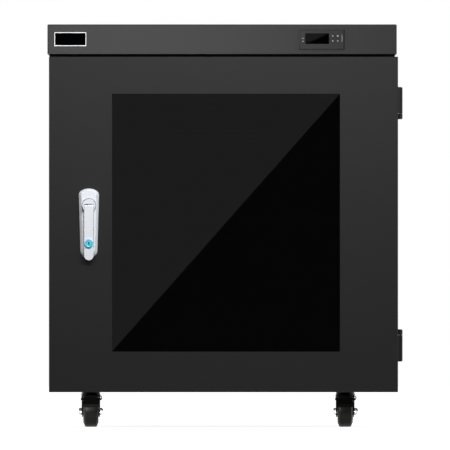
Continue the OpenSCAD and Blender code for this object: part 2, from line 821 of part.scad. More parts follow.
module dryer_case() place() color(plastic_black) difference() {
    union() {
        box([-dryer_w / 2, dryer_y, dryer_z0], [dryer_w / 2, back_y, dryer_z0 + dryer_h]);
        box([-dryer_w / 2 - dryer_ear[0], back_y - dryer_ear[1], dryer_z0 + (dryer_h - dryer_ear[2]) / 2],
            [dryer_w / 2 + dryer_ear[0], back_y, dryer_z0 + (dryer_h + dryer_ear[2]) / 2]);
    }
    box([-dryer_w / 2 + dryer_wall, dryer_y - e, dryer_z0 + dryer_wall],
        [dryer_w / 2 - dryer_wall, back_y - dryer_wall, dryer_z0 + dryer_h - dryer_wall]);
    for (i = [0:vents - 1]) box([-vent_w / 2, back_y - 2 * dryer_wall, vent_z(i) - dryer_vent_h / 2],
        [vent_w / 2, back_y + e, vent_z(i) + dryer_vent_h / 2]);
    for (s = [-1, 1])
        rod_y(hole_r, s * dryer_screw_x, back_y - 2 * dryer_ear[1], back_y + e, dryer_z0 + dryer_h / 2);
}

// The dryer's front: a plate with a raised rim and a column of air slots under sloping louvres
module dryer_grille() place() color("#26262a") {
    z_step = (dryer_h - 2 * grille_margin) / louvres;
    w = dryer_w / 2 - grille_side;
    drop = z_step * (1 - louvre_open);
    difference() {
        slab_y(dryer_y - grille_t, dryer_y)
            soft_rect([-dryer_w / 2, dryer_z0], [dryer_w / 2, dryer_z0 + dryer_h], grille_r);
        for (i = [0:louvres - 1]) box([-w, dryer_y - grille_t - e, dryer_z0 + grille_margin + i * z_step],
            [w, dryer_y + e, dryer_z0 + grille_margin + (i + louvre_open) * z_step]);
    }
    for (i = [0:louvres - 1])
        translate([0, dryer_y - grille_t, dryer_z0 + grille_margin + (i + louvre_open) * z_step])
            slab_x(-w, w) polygon([
                [0, 0], [-louvre_out, -drop], [-louvre_out, -drop - louvre_t], [louvre_out / 3, 0]
            ]);
}

module desiccant_pack() place() color("#c9c4b4") {
    y0 = dryer_y + dryer_wall + pack_front;
    z1 = dryer_z0 + dryer_h - pack_inset;
    x0 = -dryer_w / 2 + pack_inset + pack_margin[0];
    pitch = (-2 * x0 - pack_pleat[0]) / (pack_pleats - 1);
    difference() {
        box([-dryer_w / 2 + pack_inset, y0, dryer_z0 + dryer_wall],
            [dryer_w / 2 - pack_inset, back_y - dryer_wall, z1]);
        for (i = [0:pack_pleats - 1]) box([x0 + i * pitch, y0 - e, dryer_z0 + dryer_wall + pack_margin[1]],
            [x0 + i * pitch + pack_pleat[0], y0 + pack_pleat[1], z1 - pack_margin[1]]);
    }
}

// The temperature and humidity probe: a slotted capsule under a flange, its stub through the ceiling
module sensor_probe() place() color("#e6e6e4") difference() {
    union() {
        rod_z(probe_r, probe_x, probe_y, cab_z1 - sheet - probe_len, cab_z1 - sheet);
        rod_z(probe_r + probe_flange[0], probe_x, probe_y, cab_z1 - sheet - probe_flange[1], cab_z1 - sheet);
        rod_z(probe_r - slip, probe_x, probe_y, cab_z1 - sheet, cab_z1 + probe_stub);
    }
    for (a = [0, 60, 120]) translate([probe_x, probe_y, cab_z1 - sheet - probe_len + probe_slot_z])
        rotate([0, 0, a]) cube([4 * probe_r, probe_slot[0], probe_slot[1]], center = true);
}

// ---- Screws of the cabinet ----

module cabinet_screws() place() color(zinc) {
    for (s = [-1, 1], z = back_screw_z) translate([s * back_screw_x, cab_d, z]) rotate([-90, 0, 0]) screw();
    for (s = [-1, 1])
        translate([s * dryer_screw_x, cab_d, dryer_z0 + dryer_h / 2]) rotate([-90, 0, 0]) screw();
    for (z = hinge_screw_z) translate([side_x + bracket_t, bracket_screw_y, z]) rotate([0, 90, 0]) screw();
}

// ---- Door ----

module door_pan() place() color(steel_black) difference() {
    intersection() {
        slab_y(door_front, door_rear) soft_rect([door_x0, door_z0], [door_x1, door_z1], 1);
        translate([0, 0, door_z0 - e]) linear_extrude(door_z1 - door_z0 + 2 * e)
            soft_rect([door_x0, door_front], [door_x1, door_rear + 3 * door_r], door_r);
        slab_x(door_x0 - e, door_x1 + e)
            soft_rect([door_front, door_z0], [door_rear + 3 * door_r, door_z1], door_r);
    }
    box([door_x0 + door_sheet, door_front + door_sheet, door_z0 + door_sheet],
        [door_x1 - door_sheet, door_rear - door_sheet, door_z1 - door_sheet]);
    box([door_x0 + door_flange, door_rear - 2 * door_sheet, door_z0 + door_flange],
        [door_x1 - door_flange, door_rear + e, door_z1 - door_flange]);
    box([win_x0, door_front - e, win_z0], [win_x1, door_front + 2 * door_sheet, win_z1]);
    rod_y(spindle_d / 2 + slip, lock_x, door_front - e, door_front + 2 * door_sheet, lock_z);
    for (z = dish_screw_z) rod_y(hole_r, lock_x, door_front - e, door_front + 2 * door_sheet, z);
    for (z = block_screw_z) rod_x(hole_r, door_x1 - 2 * door_sheet, door_x1 + e, block_screw_y, z);
}

module window_seal() place() color(rubber_black)
    ring([win_x0, win_z0], [win_x1, win_z1], glass_lap, door_front + door_sheet, glass_y);

module window_glass() place() color([0.1, 0.1, 0.11, 0.6])
    box([win_x0 - glass_lap, glass_y, win_z0 - glass_lap],
        [win_x1 + glass_lap, glass_y + glass_t, win_z1 + glass_lap]);

// The retainer: a hat-section frame that holds the glass from behind and is screwed to the door's face
module glass_retainer() place() color(zinc) {
    a = [win_x0, win_z0];
    b = [win_x1, win_z1];
    y1 = glass_y + glass_t + retainer_t;
    edge = [glass_lap + retainer_gap, glass_lap + retainer_gap];
    flange = edge + [retainer_t, retainer_t];
    ring(a, b, flange[0], glass_y + glass_t, y1);
    ring(a - edge, b + edge, retainer_t, door_front + door_sheet, y1);
    difference() {
        ring(a - flange, b + flange, retainer_flange,
            door_front + door_sheet, door_front + door_sheet + retainer_t);
        retainer_screws() translate([0, 0, -screw_len]) cylinder(r = hole_r, h = 2 * screw_len);
    }
}

// Places a child at each screw of the retainer, with +Z pointing out of the door's rear
module retainer_screws() {
    y = door_front + door_sheet + retainer_t;
    n = retainer_screw_count - 1;
    step = [win_x1 - win_x0 - 2 * retainer_screw_end, win_z1 - win_z0 - 2 * retainer_screw_end] / n;
    for (z = [win_z0 - retainer_screw_out, win_z1 + retainer_screw_out], i = [0:n])
        translate([win_x0 + retainer_screw_end + i * step[0], y, z]) rotate([-90, 0, 0]) children();
    for (x = [win_x0 - retainer_screw_out, win_x1 + retainer_screw_out], i = [0:n])
        translate([x, y, win_z0 + retainer_screw_end + i * step[1]]) rotate([-90, 0, 0]) children();
}

module door_gasket() place() color(rubber_black)
    ring([-side_x + gasket_in + seal_w, cab_z0 + gasket_in + seal_w - door_drop / 2],
        [side_x - gasket_in - seal_w, cab_z1 - gasket_in - seal_w], seal_w, door_rear, -run);

// A nut on a weld stud: what holds the retainer
module stud_nut() {
    cylinder(r = screw_r, h = screw_head_h + stud_end);
    translate([0, 0, -retainer_t]) cylinder(r = screw_r, h = retainer_t);
    difference() {
        cylinder(r = screw_head_r, h = screw_head_h, $fn = 6);
        translate([0, 0, -e]) cylinder(r = screw_r, h = screw_head_h + 2 * e);
    }
}

module door_screws() place() color(zinc) {
    retainer_screws() stud_nut();
    for (z = dish_screw_z) translate([lock_x, door_front + door_sheet, z]) rotate([-90, 0, 0]) screw();
    for (z = block_screw_z)
        translate([door_x1 - door_sheet, block_screw_y, z]) rotate([0, -90, 0]) short_screw();
}

module short_screw() {
    translate([0, 0, -short_len]) cylinder(r = screw_r, h = short_len);
    cylinder(r = screw_head_r, h = screw_head_h);
}

// ---- Hinges ----

// A barrel round the pin's axis, its lower and upper edges chamfered by c0 and c1
module barrel(z0, z1, c0, c1) translate([pin_x, pin_y, z0]) rotate_extrude() polygon([
    [0, 0], [barrel_r - c0, 0], [barrel_r, c0],
    [barrel_r, z1 - z0 - c1], [barrel_r - c1, z1 - z0], [0, z1 - z0]
]);

// The frame's half: a plate on the cabinet's side, a step outwards and a knuckle round the pin
module hinge_bracket(z, c0, c1) {
    z1 = z + knuckle_len;
    mid = z + knuckle_len / 2;
    difference() {
        union() {
            box([side_x, bracket_y0 + bracket_t, mid - bracket_h / 2],
                [side_x + bracket_t, bracket_y0 + bracket_reach, mid + bracket_h / 2]);
            box([side_x, bracket_y0, mid - bracket_h / 2],
                [door_x1 - bracket_clear, bracket_y0 + bracket_t, mid + bracket_h / 2]);
            box([side_x, bracket_y0, z], [pin_x + bracket_t / 2, bracket_y0 + bracket_t, z1]);
            box([pin_x - bracket_t / 2, pin_y, z], [pin_x + bracket_t / 2, bracket_y0 + bracket_t, z1]);
            barrel(z, z1, c0, c1);
        }
        rod_z(hinge_pin_r + fit, pin_x, pin_y, z - e, z1 + e);
        for (k = hinge_screw_z) rod_x(hole_r, side_x - e, side_x + 3 * bracket_t, bracket_screw_y, k);
    }
}

module hinge_brackets() place() color(steel_black) {
    hinge_bracket(upper_knuckle_z, barrel_chamfer, 0);
    hinge_bracket(lower_knuckle_z, 0, barrel_chamfer);
}

// The door's half: a long barrel with a flat foot that lies on the door's edge
module hinge_block(z0, z1, c0, c1) {
    barrel(z0, z1, c0, c1);
    box([door_x1, pin_y - block_y, z0], [door_x1 + barrel_r - block_step, pin_y, z1]);
    box([door_x1, pin_y, z0], [pin_x, pin_y + barrel_r - block_step, z1]);
}

module hinge_blocks() place() color(steel_black) difference() {
    union() {
        hinge_block(upper_block_z, upper_hinge_z, 0, barrel_chamfer);
        hinge_block(lower_hinge_z, lower_knuckle_z - run, barrel_chamfer, 0);
    }
    rod_z(hinge_pin_r + fit, pin_x, pin_y, upper_block_z - e, upper_hinge_z - block_cap);
    rod_z(hinge_pin_r + fit, pin_x, pin_y, lower_hinge_z + block_cap, lower_knuckle_z);
    for (z = block_screw_z) rod_x(hole_r, door_x1 - e, door_x1 + barrel_r, block_screw_y, z);
}

module hinge_pins() place() color(zinc) {
    rod_z(hinge_pin_r, pin_x, pin_y, upper_knuckle_z, upper_knuckle_z + knuckle_len + pin_grip);
    rod_z(hinge_pin_r, pin_x, pin_y, lower_knuckle_z - pin_grip, lower_knuckle_z + knuckle_len);
}

// ---- Swing handle ----

// The dish's outline: a round top, sides that draw in, and a nose with two cut corners
module dish_outline(inset) {
    top_w = dish_w / 2 - inset;
    low_w = dish_low_w / 2 - inset;
    shoulder = lock_z + dish_up - dish_crown;
    low = lock_z - dish_down + inset;
    intersection() {
        translate([lock_x, shoulder]) scale([top_w, dish_crown - inset * dish_squash]) circle(1, $fn = 72);
        translate([lock_x - top_w, shoulder]) square([2 * top_w, dish_up]);
    }
    translate([lock_x, 0]) polygon([
        [top_w, shoulder], [low_w, low + dish_corner[1]], [low_w - dish_corner[0], low],
        [dish_corner[0] - low_w, low], [-low_w, low + dish_corner[1]], [-top_w, shoulder]
    ]);
}

module lock_dish() place() color(cast_silver) difference() {
    hull() {
        slab_y(door_front - dish_wall, door_front) dish_outline(0);
        slab_y(dish_face, door_front - dish_wall) dish_outline(dish_bevel);
    }
    rod_y(spindle_d / 2 + fit, lock_x, dish_face - e, door_front + e, lock_z);
    for (z = dish_screw_z) rod_y(screw_r + fit, lock_x, door_front - dish_screw_depth, door_front + e, z);
}

// The boss: a round cap with a fork for the lever, on a spindle with a square end
module handle_boss() place() color(cast_silver) {
    difference() {
        rod_y(boss_d / 2, lock_x, boss_front, boss_rear, lock_z);
        box([lock_x - lever_w / 2 - run, boss_front - e, lock_z - boss_d],
            [lock_x + lever_w / 2 + run, boss_rear - boss_base,
                lever_pin_z + lever_t / 2 + knuckle_extra + run]);
        rod_x(lever_pin_r, lock_x - boss_d, lock_x + boss_d, lever_pin_y, lever_pin_z);
    }
    difference() {
        union() {
            rod_y(spindle_d / 2, lock_x, boss_rear - 0.5, tongue_y - 0.5, lock_z);
            box([lock_x - square_w / 2, tongue_y - square_start, lock_z - square_w / 2],
                [lock_x + square_w / 2, tongue_y + tongue_t, lock_z + square_w / 2]);
        }
        rod_y(bolt_r + fit, lock_x, tongue_y - bolt_len - 1, tongue_y + tongue_t + e, lock_z);
    }
}

// The latch tongue, which stands upright while the handle is folded and swings behind the frame's lip
module latch_tongue() place() color(zinc) difference() {
    slab_y(tongue_y, tongue_y + tongue_t) union() {
        translate([lock_x, lock_z]) circle(tongue_hub_r);
        translate([lock_x - tongue_w / 2, lock_z]) square([tongue_w, tongue_len - tongue_w / 2]);
        translate([lock_x, lock_z + tongue_len - tongue_w / 2]) circle(tongue_w / 2);
    }
    box([lock_x - square_w / 2 - fit, tongue_y - e, lock_z - square_w / 2 - fit],
        [lock_x + square_w / 2 + fit, tongue_y + tongue_t + e, lock_z + square_w / 2 + fit]);
}

module tongue_nut() place() color(zinc) {
    rod_y(bolt_r, lock_x, tongue_y - bolt_len, tongue_y + tongue_t + washer_t, lock_z);
    rod_y(washer_r, lock_x, tongue_y + tongue_t, tongue_y + tongue_t + washer_t, lock_z);
    translate([lock_x, tongue_y + tongue_t + washer_t, lock_z]) rotate([-90, 0, 0])
        cylinder(r = nut_r, h = nut_h, $fn = 6);
}

// The lever's side, below the round knuckle at its pivot: a grip that grows thicker to its tip
module lever_side() {
    polygon([
        [lever_front, lever_pin_z - knuckle_drop], [lever_rear, lever_pin_z - knuckle_drop],
        [lever_rear, lock_z - boss_d / 2 - lever_foot[0]], [boss_rear, lock_z - boss_d / 2 - lever_foot[1]],
        [boss_rear, lever_tip + lever_heel], [boss_rear - lever_heel, lever_tip],
        [lever_low_front + lever_nose[0], lever_tip], [lever_low_front, lever_tip + lever_nose[1]]
    ]);
}

module handle_lever() place() color(cast_silver) difference() {
    intersection() {
        union() {
            slab_x(lock_x - lever_w / 2, lock_x + lever_w / 2) lever_side();
            rod_x(lever_t / 2 + knuckle_extra, lock_x - lever_w / 2, lock_x + lever_w / 2,
                lever_pin_y, lever_pin_z);
        }
        slab_y(lever_low_front - e, door_front) union() {
            translate([lock_x, lever_tip + lever_w / 2]) circle(lever_w / 2);
            translate([lock_x - lever_w / 2, lever_tip + lever_w / 2]) square([lever_w, lever_len]);
        }
    }
    rod_x(lever_pin_r, lock_x - lever_w, lock_x + lever_w, lever_pin_y, lever_pin_z);
    rod_y(sleeve_d / 2 + fit, lock_x, lever_low_front - e, boss_rear - sleeve_floor, core_z);
}

module lever_pin() place() color(zinc)
    rod_x(lever_pin_r - fit, lock_x - boss_d / 2 + 2, lock_x + boss_d / 2 - 2, lever_pin_y, lever_pin_z);

module lock_sleeve() place() color("#35b8d6") difference() {
    rod_y(sleeve_d / 2, lock_x, core_front, boss_rear - sleeve_floor, core_z);
    rod_y(core_d / 2 + fit, lock_x, core_front - e, boss_rear - sleeve_floor - sleeve_web, core_z);
}

module lock_core() place() color(zinc) difference() {
    rod_y(core_d / 2, lock_x, core_front + core_sink, boss_rear - sleeve_floor - sleeve_web - run, core_z);
    box([lock_x - key_slot[0] / 2, core_front, core_z - key_slot[2] / 2],
        [lock_x + key_slot[0] / 2, core_front + key_slot[1], core_z + key_slot[2] / 2]);
}

// ---- Casters ----

// Where a caster's swivel axis stands: i is 0 on the left, j is 0 at the front
function corner_x(i, j) = (j == 0 ? caster_x : rear_x)[i];

module caster_bolt_holes(x, y) {
    for (i = [-1, 1], j = [-1, 1])
        rod_z(bolt_hole_r, x + i * bolt_pitch / 2, y + j * bolt_pitch / 2,
            cab_z0 - plate_t - e, cab_z0 + 2 * sheet);
}

// The fixed half of a caster: the plate, the upper race with its cup, and the kingpin riveted into it
module swivel_plate(x, y) {
    difference() {
        union() {
            translate([x, y, cab_z0 - plate_t]) linear_extrude(plate_t)
                soft_rect([-plate_w / 2, -plate_w / 2], [plate_w / 2, plate_w / 2], plate_r);
            rod_z(cup_r, x, y, crown_z1 + run, cab_z0 - plate_t);
            rod_z(race_r, x, y, crown_z1 + run, crown_z1 + run + race_t);
        }
        caster_bolt_holes(x, y);
    }
    rod_z(kingpin_d / 2, x, y, crown_z1 - fork_t - run - kingpin_head, crown_z1 + run + 0.5);
    rod_z(kingpin_d / 2 + kingpin_rim, x, y, crown_z1 - fork_t - run - kingpin_head, crown_z1 - fork_t - run);
}

module caster_plates() place() color(plastic_black)
    for (i = [0, 1], j = [0, 1]) swivel_plate(corner_x(i, j), caster_y[j]);

// Bolts up through plate and floor, with their nuts inside the cabinet
module caster_bolts() place() color(zinc)
    for (i = [0, 1], j = [0, 1], a = [-1, 1], b = [-1, 1])
        translate([corner_x(i, j) + a * bolt_pitch / 2, caster_y[j] + b * bolt_pitch / 2, cab_z0]) {
            translate([0, 0, -plate_t - bolt_head_h]) cylinder(r = bolt_hex_r, h = bolt_head_h, $fn = 6);
            translate([0, 0, -plate_t - e]) cylinder(r = bolt_shank_r, h = plate_t + sheet + bolt_end);
            translate([0, 0, sheet]) cylinder(r = bolt_hex_r, h = bolt_nut_h, $fn = 6);
        }

// The side of a fork leg: from the crown down to the axle, with an ear for the pedal
module leg_side(braked) {
    difference() {
        union() {
            hull() {
                translate([-trail - leg_top, crown_z1 - fork_t]) square([trail + 2 * leg_top, fork_t]);
                translate([-trail, axle_z]) circle(leg_foot_r, $fn = 32);
            }
            if (braked) hull() {
                translate(pedal_pivot) circle(pedal_ear_r, $fn = 32);
                translate([-trail - pedal_web[1], crown_z1 - fork_t - pedal_web[1]])
                    square([pedal_web[0], fork_t + pedal_web[1]]);
            }
        }
        translate([-trail, axle_z]) circle(axle_d / 2 + fit);
    }
}

module fork(braked) {
    difference() {
        union() {
            rod_z(crown_r, 0, 0, crown_z1 - fork_t, crown_z1);
            box([-leg_x - fork_t, -trail - leg_top, crown_z1 - fork_t], [leg_x + fork_t, leg_top, crown_z1]);
        }
        rod_z(kingpin_d / 2 + fit, 0, 0, crown_z1 - fork_t - e, crown_z1 + e);
    }
    for (x = [-leg_x - fork_t, leg_x]) slab_x(x, x + fork_t) leg_side(braked);
    if (braked) pedal_pin();
}

// The pin that the pedal turns on, riveted into both legs
module pedal_pin() {
    x1 = leg_x + fork_t;
    rod_x(pedal_pin_r, -x1 - 0.5, x1 + 0.5, pedal_pivot[0], pedal_pivot[1]);
    for (x = [-x1 - pin_head_t, x1]) rod_x(pin_head_r, x, x + pin_head_t, pedal_pivot[0], pedal_pivot[1]);
}

module axle() {
    x1 = leg_x + fork_t;
    rod_x(axle_d / 2, -x1 - 1, x1 + axle_end, -trail, axle_z);
    translate([-x1 - axle_head_h, -trail, axle_z]) rotate([0, 90, 0])
        cylinder(r = axle_hex_r, h = axle_head_h, $fn = 6);
    difference() {
        translate([x1, -trail, axle_z]) rotate([0, 90, 0]) cylinder(r = axle_hex_r, h = axle_nut_h, $fn = 6);
        rod_x(axle_d / 2 - axle_point, x1 - e, x1 + axle_end, -trail, axle_z);
    }
}

// The wheel's section, from the bore out to the tread: a hub, a thin web and a tread whose sides draw in
module wheel_section() {
    w = wheel_w / 2;
    r0 = axle_z - tread_in[0];
    r1 = axle_z - tread_in[1];
    translate([axle_d / 2 + fit, -w - hub_proud]) square([hub_r - axle_d / 2, wheel_w + 2 * hub_proud]);
    translate([hub_r - e, -wheel_w / 5]) square([r0 - hub_r + 2 * e, 2 * wheel_w / 5]);
    polygon([
        [r0, -w + tread_narrow[0]], [r1, -w + tread_narrow[1]], [axle_z - tread_r, -w + tread_narrow[2]],
        [axle_z, -w + tread_narrow[2] + tread_r], [axle_z, w - tread_narrow[2] - tread_r],
        [axle_z - tread_r, w - tread_narrow[2]], [r1, w - tread_narrow[1]], [r0, w - tread_narrow[0]]
    ]);
    for (s = [-1, 1])
        translate([axle_z - tread_r - 0.02, s * (w - tread_narrow[2] - tread_r - 0.02)]) circle(tread_r);
}

module wheel() translate([0, -trail, axle_z]) rotate([0, 90, 0]) rotate_extrude($fn = 96) wheel_section();

// The pedal's own section: [u, v] is u down the slope of its plate and v off the pivot, square to it
function pedal_at(u, v) = pedal_pivot + u * [-cos(pedal_slope), -sin(pedal_slope)]
    + v * [-sin(pedal_slope), cos(pedal_slope)];

// The brake pedal: a barrel on the pin, a sloping plate with a turned-down toe, and a shoe over the wheel
module pedal() {
    v0 = pedal_barrel_r - pedal_t;
    toe = pedal_at(pedal_len, v0);
    difference() {
        union() {
            rod_x(pedal_barrel_r, -pedal_x, pedal_x, pedal_pivot[0], pedal_pivot[1]);
            slab_x(-pedal_x, pedal_x) polygon([
                pedal_at(0, v0), pedal_at(0, pedal_barrel_r - 0.02),
                pedal_at(pedal_len, pedal_barrel_r - 0.02),
                toe + [-pedal_t, -pedal_toe], toe + [0, -pedal_toe], pedal_at(pedal_len - pedal_t / 2, v0)
            ]);
            slab_x(-shoe_x, shoe_x) polygon([
                pedal_at(pedal_len / 2 - shoe_top[0], v0 + 1), pedal_at(pedal_len / 2 + shoe_top[1], v0 + 1),
                pedal_at(pedal_len / 2 + shoe_foot[1], v0 - shoe_t),
                pedal_at(pedal_len / 2 - shoe_foot[0], v0 - shoe_t)
            ]);
        }
        rod_x(pedal_pin_r + fit, -2 * pedal_x, 2 * pedal_x, pedal_pivot[0], pedal_pivot[1]);
    }
}

module at(i, j) place() translate([corner_x(i, j), caster_y[j], 0]) children();

module front_left_fork() at(0, 0) color(plastic_black) fork(true);
module front_right_fork() at(1, 0) color(plastic_black) fork(true);
module rear_left_fork() at(0, 1) color(plastic_black) fork(false);
module rear_right_fork() at(1, 1) color(plastic_black) fork(false);
module front_left_axle() at(0, 0) color(zinc) axle();
module front_right_axle() at(1, 0) color(zinc) axle();
module rear_left_axle() at(0, 1) color(zinc) axle();
module rear_right_axle() at(1, 1) color(zinc) axle();
module front_left_wheel() at(0, 0) color(rubber_black) wheel();
module front_right_wheel() at(1, 0) color(rubber_black) wheel();
module rear_left_wheel() at(0, 1) color(rubber_black) wheel();
module rear_right_wheel() at(1, 1) color(rubber_black) wheel();
module front_left_pedal() at(0, 0) color(plastic_black) pedal();
module front_right_pedal() at(1, 0) color(plastic_black) pedal();

left_side();
right_side();
floor_pan();
ceiling_pan();
back_panel();
top_rail();
bottom_sill();
control_head();
shelf_uprights();
shelf_clips();
upper_shelf();
lower_shelf();
dryer_case();
dryer_grille();
desiccant_pack();
sensor_probe();
controller_body();
controller_bezel();
display_lens();
badge_plate();
power_inlet();
power_supply();
cabinet_screws();
caster_plates();
caster_bolts();
hinge_brackets();
hinge_pins();
door_pan();
window_seal();
window_glass();
glass_retainer();
door_gasket();
hinge_blocks();
door_screws();
lock_dish();
handle_boss();
latch_tongue();
tongue_nut();
handle_lever();
lever_pin();
lock_sleeve();
lock_core();
button_top_left();
button_top_right();
button_low_left();
button_low_right();
front_left_fork();
front_right_fork();
rear_left_fork();
rear_right_fork();
front_left_axle();
front_right_axle();
rear_left_axle();
rear_right_axle();
front_left_wheel();
front_right_wheel();
rear_left_wheel();
rear_right_wheel();
front_left_pedal();
front_right_pedal();
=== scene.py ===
# Looks of the filament drying cabinet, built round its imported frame.
import json
import math

import bmesh
import bpy
import numpy as np
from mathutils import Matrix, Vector
from mathutils.geometry import delaunay_2d_cdt


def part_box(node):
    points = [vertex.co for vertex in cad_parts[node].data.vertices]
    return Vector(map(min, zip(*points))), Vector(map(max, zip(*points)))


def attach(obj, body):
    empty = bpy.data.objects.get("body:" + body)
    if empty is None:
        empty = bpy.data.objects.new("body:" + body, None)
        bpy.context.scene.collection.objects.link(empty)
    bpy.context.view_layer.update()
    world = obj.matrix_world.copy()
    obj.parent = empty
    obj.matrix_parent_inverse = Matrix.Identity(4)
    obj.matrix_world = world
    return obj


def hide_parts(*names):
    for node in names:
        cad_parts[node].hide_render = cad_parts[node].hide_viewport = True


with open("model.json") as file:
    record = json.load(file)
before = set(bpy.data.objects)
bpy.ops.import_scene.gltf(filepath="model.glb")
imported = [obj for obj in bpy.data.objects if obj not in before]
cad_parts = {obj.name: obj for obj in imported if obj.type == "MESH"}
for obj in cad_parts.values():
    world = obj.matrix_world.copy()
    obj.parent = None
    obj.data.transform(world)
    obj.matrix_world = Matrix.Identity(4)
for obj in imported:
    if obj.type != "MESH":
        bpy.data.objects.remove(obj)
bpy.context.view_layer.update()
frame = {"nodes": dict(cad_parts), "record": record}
nodes = frame["nodes"]
bodyOf = {n: b for b, names in frame["record"]["behaviour"]["bodies"].items() for n in names}
slotOf = {s["node"]: s["material_slot"] for s in frame["record"]["subparts"]}
mm = 0.001
print("frame loaded:", len(nodes), "nodes")


# A grey or colour in 0-255 steps, as linear numbers
def srgb(value):
    parts = [value] * 3 if isinstance(value, (int, float)) else value
    linear = [c / 255 / 12.92 if c <= 10 else ((c / 255 + 0.055) / 1.055) ** 2.4 for c in parts]
    return tuple(linear) + (1.0,)


# A coating: fine relief from one noise, and a colour that wanders a little on another
def coated(name, grey, rough, scale=900.0, height=0.00006, spread=0.04, metallic=0.0, specular=0.5):
    material = bpy.data.materials.new(name)
    material.use_nodes = True
    tree = material.node_tree
    shader = tree.nodes["Principled BSDF"]
    shader.inputs["Roughness"].default_value = rough
    shader.inputs["Metallic"].default_value = metallic
    shader.inputs["Specular IOR Level"].default_value = specular
    coords = tree.nodes.new("ShaderNodeTexCoord")
    relief = tree.nodes.new("ShaderNodeTexNoise")
    relief.inputs["Scale"].default_value = scale
    relief.inputs["Detail"].default_value = 3.0
    bump = tree.nodes.new("ShaderNodeBump")
    bump.inputs["Strength"].default_value = 1.0
    bump.inputs["Distance"].default_value = height
    cloud = tree.nodes.new("ShaderNodeTexNoise")
    cloud.inputs["Scale"].default_value = scale * 0.5
    cloud.inputs["Detail"].default_value = 2.0
    ramp = tree.nodes.new("ShaderNodeValToRGB")
    base = np.array(srgb(grey)[:3])
    for element, place, share in zip(ramp.color_ramp.elements, (0.3, 0.7), (1 - spread, 1 + spread)):
        element.position = place
        element.color = tuple(np.minimum(base * share, 1.0)) + (1.0,)
    links = tree.links
    links.new(coords.outputs["Object"], relief.inputs["Vector"])
    links.new(relief.outputs["Fac"], bump.inputs["Height"])
    links.new(bump.outputs["Normal"], shader.inputs["Normal"])
    links.new(coords.outputs["Object"], cloud.inputs["Vector"])
    links.new(cloud.outputs["Fac"], ramp.inputs["Fac"])
    links.new(ramp.outputs["Color"], shader.inputs["Base Color"])
    return material


# Smooth clear or dark glass
def glazed(name, colour, rough, transmission):
    material = bpy.data.materials.new(name)
    material.use_nodes = True
    shader = material.node_tree.nodes["Principled BSDF"]
    shader.inputs["Base Color"].default_value = colour
    shader.inputs["Roughness"].default_value = rough
    shader.inputs["Transmission Weight"].default_value = transmission
    shader.inputs["IOR"].default_value = 1.5
    return material


# Colours in 0-255 steps, where a grey is one number
finish = {
    "door": 47, "head": 65, "body": 47, "inside": 88, "powderRough": 0.5, "powderShine": 0.24,
    "silver": (228, 231, 237), "zinc": (196, 199, 204), "chrome": (214, 217, 222), "badge": (214, 216, 219),
    "plastic": 24, "console": 57, "caster": 5, "nylon": (22, 22, 19), "rubber": 16, "grille": 150,
    "desiccant": (176, 170, 154), "button": 20, "cyan": (92, 208, 232), "print": (225, 226, 228),
    # The well's grey is painted shade: a darker grey for the seam round the handle's boss and lever
    "badgeField": 8, "brass": (120, 96, 84), "spring": 24, "well": 84,
    "glass": (0.04, 0.04, 0.043, 1), "display": (0.0015, 0.0015, 0.0017, 1),  # these two are linear
}
powder = finish["powderRough"]
shine = finish["powderShine"]
mats = {  # colour, roughness, scale and height of the relief, spread of the colour
    "door_paint": coated("doorPaint", finish["door"], powder, specular=shine),
    "head_paint": coated("headPaint", finish["head"], powder, specular=0.25),
    "body_paint": coated("bodyPaint", finish["body"], powder, specular=shine),
    "inside_paint": coated("insidePaint", finish["inside"], powder),
    "zinc_plate": coated("zincPlate", finish["zinc"], 0.32, 1400.0, 0.00002, 0.05, metallic=0.95),
    "handle_cast": coated("handleCast", finish["silver"], 0.34, 1600.0, 0.000015, 0.02, metallic=0.1),
    "black_plastic": coated("blackPlastic", finish["plastic"], 0.5, 1500.0, 0.00004),
    "caster_black": coated("casterBlack", finish["caster"], 0.38, 1200.0, 0.00002, specular=0.12),
    "wheel_nylon": coated("wheelNylon", finish["nylon"], 0.38, 700.0, 0.00003, 0.08, specular=0.15),
    "seal_rubber": coated("sealRubber", finish["rubber"], 0.7, 1500.0, 0.00005),
    "badge_silver": coated("badgeSilver", finish["badge"], 0.3, 1600.0, 0.00001, 0.02, metallic=0.3),
    "lock_cyan": coated("lockCyan", finish["cyan"], 0.22, 1600.0, 0.00001, 0.02),
    "grey_plastic": coated("greyPlastic", finish["grille"], 0.5, 1500.0, 0.00003),
    "desiccant": coated("desiccant", finish["desiccant"], 0.85, 500.0, 0.0002, 0.1),
    "button_plastic": coated("buttonPlastic", finish["button"], 0.4, 1500.0, 0.00003),
    "tinted_glass": glazed("tintedGlass", finish["glass"], 0.0, 1.0),
    "display_black": glazed("displayBlack", finish["display"], 0.02, 0.0),
    "consoleGrey": coated("consoleGrey", finish["console"], 0.45, 1500.0, 0.00003, specular=0.25),
    "badgeBlack": coated("badgeBlack", finish["badgeField"], 0.15, 1600.0, 0.000005, 0.02, specular=0.3),
    "printLight": coated("printLight", finish["print"], 0.5, 1600.0, 0.00001, 0.02),
    "axleChrome": coated("axleChrome", finish["chrome"], 0.2, 1600.0, 0.00001, 0.02, metallic=0.35),
    "springSteel": coated("springSteel", finish["spring"], 0.35, 1600.0, 0.00001, 0.02, metallic=0.8),
    # The next finish is painted shade: a darker grey for the well round the handle's boss and lever
    "wellPaintedShade": coated("wellPaintedShade", finish["well"], 0.5, 1600.0, 0.00001, 0.02),
    "keyBrass": coated("keyBrass", finish["brass"], 0.4, 1600.0, 0.00001, metallic=0.5),
}

# Every node shows its slot's finish, unless a piece replaces it below
for name, obj in nodes.items():
    obj.data.materials.clear()
    obj.data.materials.append(mats[slotOf[name]])
print("materials set:", len(mats))


